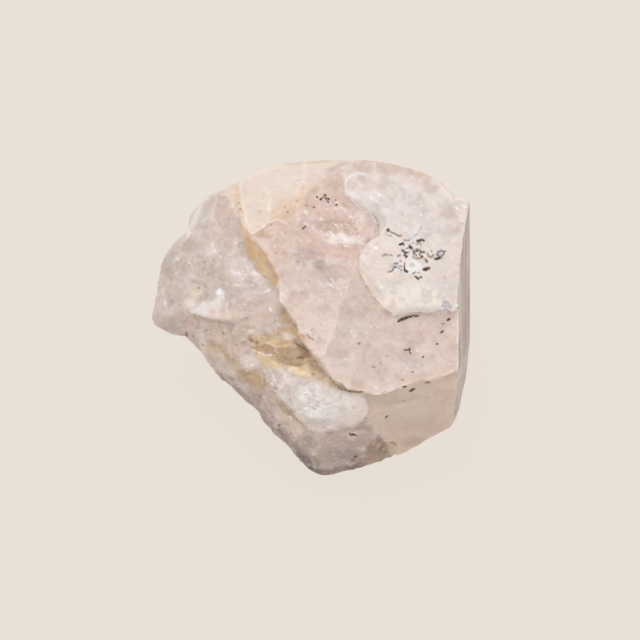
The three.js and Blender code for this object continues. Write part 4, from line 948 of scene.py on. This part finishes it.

# %% [markdown]
# Cracks, ridges and scratches come last. A ridge that catches the light is a pale line, and a crack that
# holds a little iron is a brown one. A few lines are painted light instead: painted shade under the
# lobe's ledge and along a step of the pale sheet, and a painted highlight along the white block's lower
# edge.

# %% Streaks, cracks, and lines of painted shade and highlight
STREAKS = [  # colour, width, softness, strength, path
    ("#eadfd4", 0.4, 0.1, 0.8, [(-12.3, 10.4), (-12.9, 9.3), (-13.35, 8.4)]),
    ("#c5bcb5", 0.7, 0.2, 0.7, [(-11.3, 11.6), (-12.6, 8.8)]),
    ("#e5d5c6", 0.22, 0.12, 0.6, [(-10.3, 12.2), (-10.5, 11.4), (-10.8, 10.4), (-11.1, 9.2)]),
    ("#ebd9c6", 0.13, 0.05, 0.9, [(-9.0, 12.0), (-8.4, 10.8), (-7.8, 9.7), (-7.4, 9.2)]),
    ("#eee2d2", 0.14, 0.07, 0.75, [(-7.95, 13.8), (-8.0, 13.0), (-7.8, 11.9), (-7.5, 10.9), (-7.35, 9.8),
     (-6.95, 8.7)]),
    ("#efe6dc", 0.3, 0.2, 0.4, [(-1.5, 15.7), (-1.6, 14.4), (-1.5, 13.4)]),
    ("#f3e8da", 0.14, 0.06, 0.8, [(-6.8, 8.55), (-5.8, 9.2), (-4.9, 9.7), (-4.2, 10.0), (-3.5, 9.75)]),
    ("#c1a594", 0.12, 0.06, 0.6, [(-6.5, 8.5), (-5.7, 9.0), (-4.8, 9.45), (-4.2, 9.75), (-3.5, 9.5)]),
    ("#d6b99b", 0.12, 0.06, 0.7, [(-4.8, 10.6), (-4.0, 11.2), (-2.4, 11.85)]),
    ("#f3eade", 0.2, 0.1, 0.3, [(-7.2, 14.2), (-5.6, 14.9), (-3.4, 15.5)]),
    ("#f3eade", 0.3, 0.2, 0.5, [(-5.6, 13.4), (-5.0, 12.2), (-5.2, 10.8)]),
    ("#d6bca2", 0.1, 0.05, 0.7, [(-2.5, 14.0), (-1.9, 14.02)]),
    ("#d6bca2", 0.1, 0.05, 0.7, [(-1.2, 13.9), (-0.6, 13.9)]),
    ("#c8baac", 0.25, 0.1, 0.6, [(-3.4, 15.7), (-0.4, 15.8), (1.6, 16.0), (4.2, 16.1)]),
    ("#caac88", 0.16, 0.06, 0.8, [(-7.2, 8.0), (-6.7, 7.8), (-5.5, 6.6), (-4.8, 5.4), (-4.0, 3.9)]),
    ("#e2cba9", 0.26, 0.08, 0.8, [(-6.4, 6.4), (-5.6, 5.2), (-4.9, 4.4)]),
    ("#c8ac8a", 0.16, 0.06, 0.7, [(-7.3, 6.8), (-6.7, 5.8), (-6.4, 5.0), (-5.3, 4.2), (-4.3, 3.1)]),
    # Painted shade: this darker line lies under the lobe's ledge, where the ledge shades the face below
    # it.
    ("#c4b1a2", 0.25, 0.1, 0.7, [(-12.9, 0.6), (-12.2, 0.2), (-10.9, -0.2), (-9.4, -0.3), (-8.3, -0.7),
     (-7.5, -1.3)]),
    ("#d8cec5", 0.45, 0.15, 0.7, [(-12.6, -0.3), (-12.1, -1.3), (-11.5, -2.3)]),
    ("#e8e0da", 0.12, 0.06, 0.6, [(-10.4, -4.7), (-10.25, -4.25), (-9.8, -4.1)]),
    ("#cdb092", 0.3, 0.15, 0.6, [(4.4, -7.2), (4.75, -7.9), (4.9, -8.9), (4.5, -9.9)]),
    ("#e8d2c6", 0.8, 0.4, 0.5, [(-4.0, 3.4), (-3.5, 1.6), (-2.6, 0.2), (-1.5, -1.7)]),
    ("#b89d80", 0.4, 0.2, 0.5, [(-8.9, -3.9), (-7.9, -5.2), (-6.7, -6.3)]),
    ("#ceac86", 0.6, 0.25, 0.8, [(-3.5, 0.9), (-3.2, 0.1), (-2.6, -0.8), (-2.1, -1.7)]),
    ("#a27f5a", 0.26, 0.08, 0.75, [(-2.5, -0.45), (-2.05, -1.0), (-1.7, -1.65), (-1.6, -2.3)]),
    ("#a2825e", 0.26, 0.08, 0.75, [(-0.55, -4.1), (-0.2, -4.65), (0.1, -4.95), (0.7, -5.55), (1.65, -6.1),
     (2.5, -6.75)]),
    ("#b09372", 0.2, 0.08, 0.7, [(2.5, -6.8), (2.95, -7.05), (4.2, -7.1)]),
    ("#705032", 0.16, 0.08, 0.8, [(-2.55, -2.3), (-1.9, -2.6), (-1.2, -3.0)]),
    ("#705032", 0.14, 0.07, 0.8, [(-2.15, -3.76), (-1.6, -3.78), (-0.95, -3.64)]),
    ("#967656", 0.12, 0.06, 0.7, [(-7.1, -1.85), (-6.6, -2.1), (-6.2, -2.5)]),
    ("#aa8e70", 0.14, 0.07, 0.6, [(-4.5, -3.95), (-3.9, -4.4), (-3.0, -4.45), (-2.3, -4.6)]),
    ("#f7f1ea", 0.14, 0.06, 0.7, [(-6.1, -3.2), (-5.5, -3.5), (-4.95, -3.45)]),
    ("#f0e4d6", 0.12, 0.06, 0.7, [(-5.35, -2.35), (-4.85, -2.45), (-4.45, -2.65)]),
    ("#decebe", 0.2, 0.1, 0.5, [(-7.9, -1.0), (-7.0, -1.3), (-6.1, -1.2)]),
    ("#6a5e60", 1.2, 0.4, 0.85, [(-2.2, -13.6), (-1.0, -15.0), (0.6, -15.6), (2.4, -15.3), (4.0, -14.9)]),
    ("#c4aea4", 0.35, 0.15, 0.6, [(0.9, 15.0), (2.4, 15.55), (4.2, 15.9)]),
    ("#9e8c86", 0.5, 0.25, 0.7, [(-8.2, -6.7), (-7.5, -7.4), (-6.8, -8.1), (-6.2, -8.6)]),
    ("#a0918f", 0.4, 0.25, 0.6, [(-5.4, -9.5), (-5.0, -10.0), (-4.4, -10.9), (-3.7, -11.7)]),
    ("#928274", 0.4, 0.2, 0.7, [(-2.8, -12.4), (-2.0, -13.0)]),
    ("#ece5e1", 0.16, 0.08, 0.6, [(14.8, 11.4), (14.3, 9.0), (13.85, 5.6), (13.6, 2.5), (13.65, 0.2),
     (13.7, -2.4), (13.65, -4.8)]),
    ("#c4b8aa", 0.3, 0.15, 0.6, [(-1.0, -13.3), (-0.7, -14.1), (-0.5, -14.8)]),
    ("#cebcb1", 1.2, 0.35, 0.8, [(1.6, 15.0), (3.2, 15.4), (5.6, 15.3), (7.6, 15.2)]),
    ("#d2c1b5", 0.6, 0.25, 0.7, [(6.5, 15.7), (8.6, 15.2), (10.9, 14.4)]),
    ("#dacabe", 0.5, 0.15, 0.7, [(3.4, 13.2), (5.2, 13.3), (6.2, 12.8)]),
    ("#ede6e4", 0.2, 0.1, 0.8, [(2.5, 13.2), (2.55, 13.8), (2.9, 14.3), (3.6, 14.7), (4.6, 14.5)]),
    ("#d7c7ba", 0.26, 0.1, 0.8, [(5.4, 13.25), (6.6, 12.4), (7.5, 11.3)]),
    ("#d9cbbf", 0.26, 0.1, 0.7, [(7.0, 13.4), (8.4, 12.8), (9.7, 12.0)]),
    # Painted shadow: the strip on the next line is the shadow of the pale sheet's step.
    ("#cfbcaf", 0.22, 0.1, 0.8, [(4.5, 11.0), (5.3, 10.5)]),
    ("#f1ebe9", 0.45, 0.25, 0.7, [(2.9, 12.8), (3.9, 12.0), (5.2, 10.8), (6.0, 9.9)]),
    ("#eae4e2", 0.3, 0.2, 0.5, [(5.4, 12.9), (6.6, 12.1), (8.1, 11.0)]),
    ("#eae3e1", 0.25, 0.15, 0.5, [(8.6, 12.8), (9.8, 11.9), (11.0, 10.9)]),
    ("#d0beb4", 0.16, 0.08, 0.6, [(6.0, 13.4), (6.9, 12.5), (7.3, 11.6)]),
    ("#dec9bc", 0.3, 0.15, 0.6, [(5.0, 10.7), (5.8, 9.8), (5.9, 9.0)]),
    ("#baa090", 0.14, 0.07, 0.6, [(10.75, 12.6), (10.82, 12.56)]),
    ("#bea696", 0.14, 0.07, 0.6, [(11.08, 9.9), (11.12, 9.88)]),
    ("#d6bfb1", 0.2, 0.08, 0.6, [(5.7, 9.9), (5.65, 9.0), (5.3, 8.3), (4.6, 7.6)]),
    ("#f0e8e2", 0.12, 0.06, 0.7, [(2.0, 1.3), (1.4, -0.8), (0.4, -3.4)]),
    ("#c8b6aa", 0.3, 0.15, 0.4, [(6.9, -8.2), (8.8, -8.0), (10.6, -7.6)]),
    # Painted highlight: this pale line runs along the white block's lower edge, where its rim catches the
    # light.
    ("#e4dbd3", 0.2, 0.1, 0.7, [(-1.2, -10.8), (0.4, -11.1), (2.0, -10.8), (4.0, -10.0), (4.7, -9.0),
     (4.75, -8.3)]),
    ("#e5d6ce", 0.3, 0.15, 0.5, [(4.8, -1.5), (4.2, -2.4), (3.9, -3.8)]),
    ("#f0dec2", 0.5, 0.2, 0.6, [(4.2, 5.2), (4.5, 4.3), (5.0, 3.3), (5.6, 2.4), (6.2, 1.6)]),
    ("#c8a07a", 0.14, 0.06, 0.7, [(5.15, 2.95), (5.3, 2.65)]),
    ("#c49c76", 0.14, 0.06, 0.7, [(5.5, 2.35), (5.56, 2.3)]),
    ("#dccec4", 0.1, 0.05, 0.6, [(5.2, -9.0), (6.6, -8.7)]),
    ("#988478", 0.1, 0.05, 0.6, [(4.4, -12.4), (5.4, -13.2), (6.2, -14.0)]),
]
for colour, width, soft, strength, path in STREAKS:
    line = front * smooth_step(-soft, soft, width / 2 - from_path(wander * 0.5 + points * 0.5, path))
    wash(strength * line, colour)
print("streaks:", len(STREAKS))


# %% Places that are frosted with tiny white crystals, and places that are clear of them
FROSTED = [  # x, y, width, height, strength
    (2.4, 8.0, 4.6, 1.6, 1.0), (1.0, 9.4, 5.0, 2.6, 0.55), (3.8, 10.2, 2.0, 2.6, 0.75),
    (1.4, 11.4, 2.4, 1.8, 0.6), (-2.2, 10.9, 0.9, 1.9, 0.9), (-0.8, 10.4, 2.2, 1.8, 0.5),
    (-4.6, 8.2, 3.0, 1.2, 0.4), (1.2, 3.0, 4.6, 2.4, 0.65), (4.4, 3.0, 2.0, 2.0, 0.35),
    (-6.9, 4.8, 4.2, 3.6, 0.75), (-5.8, 2.6, 3.2, 2.4, 0.5), (-9.0, 7.0, 2.6, 2.6, 0.3),
    (-0.8, -8.0, 3.6, 4.0, 1.0), (2.0, -7.8, 4.0, 2.6, 0.35), (-3.8, -5.8, 3.0, 1.6, 0.6),
    (-7.2, -4.2, 2.6, 1.6, 0.7), (-4.6, -3.2, 3.4, 1.2, 0.4), (-3.2, -1.6, 2.2, 1.0, 0.6),
    (-5.0, -0.4, 4.0, 1.6, 0.3), (5.0, 5.8, 1.8, 4.6, 0.35), (9.0, 6.4, 5.0, 4.6, 0.4),
    (6.4, 11.4, 6.4, 3.4, 0.35), (12.4, 1.4, 1.6, 1.4, 0.5), (3.6, 13.6, 2.0, 1.8, 0.5),
    (6.2, -7.0, 3.6, 0.8, 0.6), (-3.6, -10.6, 2.2, 2.2, 0.3), (13.8, 11.2, 1.6, 1.4, 0.6),
]
flecked = np.zeros(len(points))
for *oval, strength in FROSTED:
    flecked = np.maximum(flecked, strength * front * smooth_step(1.2, 0.5, across_oval(*oval)))
for outline, cleared in ((BROWN_WEDGE, 1.5), (SEAM, 1.5), (CROWN, 0.3), (LOWER_RIGHT, 0.3), (LEDGE, 1.0)):
    flecked -= cleared * patch(wander, outline)
print("frosted points:", int((flecked > 0.3).sum()))


# %% Fine scratches that all run one way across a sheet
def brushed(points, angle, seed):
    """Noise drawn out along one direction on the face, in scratches about two millimetres long."""
    turn = math.radians(angle)
    along = points[:, 0] * math.cos(turn) + points[:, 1] * math.sin(turn)
    across = points[:, 1] * math.cos(turn) - points[:, 0] * math.sin(turn)
    return clouds(np.column_stack([along / 2.0, across / 0.22, points[:, 2] / 2.0]), 1.0, 3, seed)


for sheet, angle, amount, seed in (
    (pink_sheet * (1 - pale_sheet), -50, 0.15, 33),
    (pale_sheet, -35, 0.16, 34),
    (patch(wander, LOWER_RIGHT), -8, 0.08, 35),
):
    scratches = brushed(points, angle, seed)
    wash(amount * sheet * smooth_step(0.1, 0.6, scratches), "#eee5e0")
    wash(0.7 * amount * sheet * smooth_step(0.1, 0.6, -scratches), "#c4aea2")
    print("scratches at", angle, "degrees on", int((sheet > 0.5).sum()), "points")

# %% Milky veils and cloudiness over everything
milk = smooth_step(0.05, 0.55, mottle + 0.5 * grain)
smoke = smooth_step(0.1, 0.6, -mottle - 0.4 * grain)
smooth = np.maximum(patch(wander, CROWN), patch(wander, LOWER_RIGHT))
wash(0.29 * (1 - 0.7 * smooth) * milk, "#f0e6e1")
wash(0.29 * (1 - 0.8 * smooth) * smoke, "#baa59a")
veil = close_to(0, 0.05, clouds(points, 2.6, 3, seed=28))
veil *= smooth_step(0, 0.4, clouds(points, 3, 2, seed=29))
wash(0.3 * veil, "#eee5e0")
print("veils on", int((veil > 0.5).sum()), "points")

# %% [markdown]
# A thin edge of a translucent stone scatters more light than its body, so the rims of the sheets
# look nearly white; that glow is painted on as a highlight. Dirt does the opposite: it gathers in the
# open crevice and stays there.

# %% Painted highlights on the rims, the growth face, dirt, and the specks
broken = 0.4 + 0.6 * smooth_step(-0.3, 0.3, grain)
low_rim = smooth_step(4.0, 1.0, points[:, 1]) * broken
from_rim = inside_by(points, PINK_SHEET)
pink_rim_highlight = close_to(0.1, 0.16, from_rim) * on_sheet * front
pale_rim_highlight = close_to(0.08, 0.12, inside_by(points, PALE_SHEET)) * pale_sheet * broken
# Painted highlights: the pink sheet's lower rim and the pale sheet's rim are washed pale.
wash(0.75 * pink_rim_highlight * low_rim, "#eee1d7")
wash(0.7 * pale_rim_highlight * (1 - upper_end), "#eee5e1")

growth = smooth_step(0.75, 0.88, normals[:, 0]) * smooth_step(12.9, 13.3, points[:, 0])
stripe = clouds(points * np.array([1, 0.04, 1]), 0.5, 3, seed=12)
wash(0.9 * growth, "#bcada5")
wash(growth * smooth_step(0.0, 0.4, stripe), "#d1c7c2")
wash(0.9 * growth * smooth_step(0.0, 0.4, -stripe), "#a4958e")

dirt = close_to(-0.3, 0.3, from_rim) * patch(wander, POCKET, 0.4) * (1 - on_sheet)
wash(0.35 * dirt * smooth_step(-0.3, 0.3, grain), "#967654")

SHARP = 0.03  # millimetres over which a stroke's edge fades
CLUSTER = (9.3, 6.6)  # the middle of the group of crystals on the pale sheet, which are less rusty
rusty = smooth_step(3.2, 3.8, from_spot(points, CLUSTER))
ragged = 0.035 * clouds(points, 0.2, 3, seed=31) + 0.022 * (1 - rusty)
crumbled = smooth_step(-0.4, 0.05, clouds(points, 0.3, 2, seed=32))
seen = (points[:, 2] > -1.0) * 1.0


def strokes(marks, soft):
    """Where these strokes lie on the front, with edges of this softness."""
    return seen * smooth_step(-soft, soft, drawn(points, marks) + ragged)


wash(0.85 * strokes(MIST, 2 * SHARP), "#bebabf")
wash(0.75 * strokes(UMBER, 2 * SHARP), "#8c6240")
wash(0.85 * strokes(SLATE, SHARP), "#68626c")
wash(0.97 * strokes(MOSS, SHARP), "#42300a")
wash(0.5 * strokes(INK, 3 * SHARP), "#966e4c")
ink = strokes(INK, SHARP) * (0.85 + 0.15 * crumbled)
wash(0.97 * ink, "#1c0e03")
wash(0.97 * ink * rusty, "#4c2c06")
# The glints are painted highlights: white where little chips would catch the light.
wash(0.8 * strokes(GLINTS, 1.5 * SHARP) * (0.6 + 0.4 * crumbled), "#fcfaf7")
print("ink covers", int((ink > 0.5).sum()), "points")

# %% Writing the paint to the mesh
frost = 0.25 + 0.35 * milk + 0.3 * patch(wander, WHITE_BLOCK)
frost = np.clip(frost + 0.25 * patch(wander, LEDGE) - 0.2 * growth, 0, 1)
soil = np.clip(dirt + ink + strokes(MOSS, SHARP) + 0.5 * strokes(SLATE + UMBER, SHARP), 0, 1)


def write_number(name, values):
    """Keeps one number on every point of the stone."""
    stone.data.attributes.new(name, "FLOAT", "POINT").data.foreach_set("value", values.astype(np.float32))


rgba = np.column_stack([np.clip(tint, 0, 1), np.ones(len(tint))]).astype(np.float32)
stone.data.color_attributes.new("tint", "FLOAT_COLOR", "POINT").data.foreach_set("color", rgba.ravel())
write_number("frost", frost)
write_number("soil", soil)
write_number("flecked", flecked)
print("mean tint:", np.round(tint.mean(axis=0), 2))

# %% [markdown]
# ## The material
# Light goes a millimetre or two into morganite before it comes back, which is subsurface
# scattering. The tint comes from the painted points. Over it lie marks that are too fine for the
# mesh: a cloudy mottling, scattered dark pinpoint crystals, white pinpoints of painted sparkle, and a
# bump that breaks up the shine.

# %% A group for scattered pinpoints: dark crystals, and white ones that are painted sparkle
def new_group(name, inputs, outputs):
    """An empty shader node group with these sockets."""
    group = bpy.data.node_groups.new(name, "ShaderNodeTree")
    for side, sockets in (("INPUT", inputs), ("OUTPUT", outputs)):
        for socket, kind in sockets.items():
            group.interface.new_socket(socket, in_out=side, socket_type="NodeSocket" + kind)
    return group, group.nodes.new("NodeGroupInput"), group.nodes.new("NodeGroupOutput")


def add_node(tree, kind, **settings):
    """A node in this tree with these settings."""
    node = tree.nodes.new(kind)
    for setting, value in settings.items():
        setattr(node, setting, value)
    return node


def math_step(tree, operation, first, second, clamp=False):
    """One step of arithmetic on two sockets or numbers."""
    node = add_node(tree, "ShaderNodeMath", operation=operation, use_clamp=clamp)
    for socket, value in zip(node.inputs, (first, second)):
        if isinstance(value, (int, float)):
            socket.default_value = value
        else:
            tree.links.new(value, socket)
    return node.outputs[0]


def ramp(tree, value, low, high, bottom=0.0, top=1.0):
    """A value stretched from one range to another, and held inside it."""
    node = add_node(tree, "ShaderNodeMapRange", interpolation_type="SMOOTHSTEP")
    tree.links.new(value, node.inputs["Value"])
    set_inputs(node, {"From Min": low, "From Max": high, "To Min": bottom, "To Max": top})
    return node.outputs["Result"]


def noise_at(tree, place, size, detail=3.0, roughness=0.55):
    """Cloudy noise with lumps of this size, in millimetres."""
    node = add_node(tree, "ShaderNodeTexNoise")
    tree.links.new(place, node.inputs["Vector"])
    set_inputs(node, {"Scale": 1 / size, "Detail": detail, "Roughness": roughness})
    return node.outputs["Fac"]


pinpoints, given, result = new_group(
    "pinpoint_crystals_and_sparkle",
    {"Place": "Vector", "Spacing": "Float", "Radius": "Float", "Share": "Float"},
    {"Mask": "Float"},
)
cells = add_node(pinpoints, "ShaderNodeTexVoronoi", feature="F1")
pinpoints.links.new(given.outputs["Place"], cells.inputs["Vector"])
pinpoints.links.new(math_step(pinpoints, "DIVIDE", 1.0, given.outputs["Spacing"]), cells.inputs["Scale"])
reach = math_step(pinpoints, "MULTIPLY", cells.outputs["Distance"], given.outputs["Spacing"])
inside = math_step(pinpoints, "LESS_THAN", reach, given.outputs["Radius"])
chosen_parts = add_node(pinpoints, "ShaderNodeSeparateColor")
pinpoints.links.new(cells.outputs["Color"], chosen_parts.inputs["Color"])
chosen = math_step(pinpoints, "LESS_THAN", chosen_parts.outputs["Red"], given.outputs["Share"])
pinpoints.links.new(math_step(pinpoints, "MULTIPLY", inside, chosen), result.inputs["Mask"])
print("group:", pinpoints.name)

# %% The stone's own material
BERYL_IOR = 1.58
LIGHT_REACH = 1.3  # how far red light goes under the surface, in millimetres

morganite = bpy.data.materials.new("morganite")
morganite.use_nodes = True
tree = morganite.node_tree
shader = tree.nodes["Principled BSDF"]
shader.subsurface_method = "RANDOM_WALK"
set_inputs(shader, {
    "IOR": BERYL_IOR, "Specular IOR Level": 0.35,
    "Subsurface Radius": (1.0, 0.6, 0.45), "Subsurface Scale": LIGHT_REACH * MM,
})

coordinates = add_node(tree, "ShaderNodeTexCoord")
hand_held = add_node(tree, "ShaderNodeMapping", vector_type="TEXTURE")
set_inputs(hand_held, {"Location": MIDDLE * MM, "Rotation": (LEAN, 0, 0), "Scale": (MM, MM, MM)})
tree.links.new(coordinates.outputs["Object"], hand_held.inputs["Vector"])
place = hand_held.outputs["Vector"]


def painted(name, socket="Fac"):
    """What was painted on the points under this name."""
    return add_node(tree, "ShaderNodeAttribute", attribute_name=name).outputs[socket]


def a_share_of(value, amount):
    """A socket's value, times an amount."""
    return math_step(tree, "MULTIPLY", value, amount)


def mixed(colour, over, amount, blend="MIX"):
    """A colour laid over another by an amount."""
    node = add_node(tree, "ShaderNodeMix", data_type="RGBA", blend_type=blend, clamp_result=True)
    for socket, value in (("A_Color", colour), ("B_Color", over)):
        slot = next(s for s in node.inputs if s.identifier == socket)
        if isinstance(value, str):
            slot.default_value = (*srgb(value), 1)
        else:
            tree.links.new(value, slot)
    factor = next(s for s in node.inputs if s.identifier == "Factor_Float")
    tree.links.new(amount, factor)
    return next(s for s in node.outputs if s.identifier == "Result_Color")


fine = noise_at(tree, place, 0.45, 5)
finest = noise_at(tree, place, 0.12, 3)
colour = painted("tint", "Color")
colour = mixed(colour, "#f0e6e1", ramp(tree, fine, 0.52, 0.72, 0, 0.16))
colour = mixed(colour, "#ac968a", ramp(tree, fine, 0.48, 0.3, 0, 0.14))


def scatter(spacing, radius, share):
    """A mask of scattered pinpoints, which the material uses for dark crystals and for white painted
    sparkle.
    """
    node = add_node(tree, "ShaderNodeGroup")
    node.node_tree = pinpoints
    tree.links.new(place, node.inputs["Place"])
    set_inputs(node, {"Spacing": spacing, "Radius": radius, "Share": share})
    return node.outputs["Mask"]


slanted = add_node(tree, "ShaderNodeMapping", vector_type="TEXTURE")
set_inputs(slanted, {"Rotation": (0, 0, math.radians(-35)), "Scale": (2.2, 0.8, 1.5)})
tree.links.new(place, slanted.inputs["Vector"])
feathers = noise_at(tree, slanted.outputs["Vector"], 0.5, 5, 0.65)
feathers = math_step(tree, "ADD", feathers, a_share_of(painted("flecked"), 0.14))
colour = mixed(colour, "#f8f3f1", ramp(tree, feathers, 0.6, 0.78, 0, 0.85))
sugar = noise_at(tree, place, 0.2, 4, 0.7)
sugar = math_step(tree, "ADD", sugar, a_share_of(painted("flecked"), 0.1))
colour = mixed(colour, "#fcf8f7", ramp(tree, sugar, 0.63, 0.71, 0, 0.75))
colour = mixed(colour, "#866a54", a_share_of(scatter(1.1, 0.07, 0.07), 0.5))
# White pinpoints of painted sparkle: highlights where tiny facets would catch the light.
colour = mixed(colour, "#faf6f3", a_share_of(scatter(0.7, 0.06, 0.12), 0.35))
tree.links.new(colour, shader.inputs["Base Color"])

dullness = ramp(tree, fine, 0.3, 0.7, 0.26, 0.44)
dullness = math_step(tree, "ADD", dullness, a_share_of(painted("frost"), 0.22))
dullness = math_step(tree, "ADD", dullness, a_share_of(painted("soil"), 0.25), True)
tree.links.new(dullness, shader.inputs["Roughness"])
tree.links.new(ramp(tree, painted("soil"), 0.0, 0.7, 0.7, 0.1), shader.inputs["Subsurface Weight"])

height = math_step(tree, "ADD", fine, a_share_of(finest, 0.35))
bump = add_node(tree, "ShaderNodeBump")
set_inputs(bump, {"Distance": 0.05 * MM, "Strength": 0.4})
tree.links.new(height, bump.inputs["Height"])
tree.links.new(bump.outputs["Normal"], shader.inputs["Normal"])
stone.data.materials.clear()
stone.data.materials.append(morganite)
print("material nodes:", len(tree.nodes))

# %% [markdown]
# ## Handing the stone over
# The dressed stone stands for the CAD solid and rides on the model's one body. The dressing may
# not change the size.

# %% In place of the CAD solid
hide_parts("morganite")
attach(stone, "root")
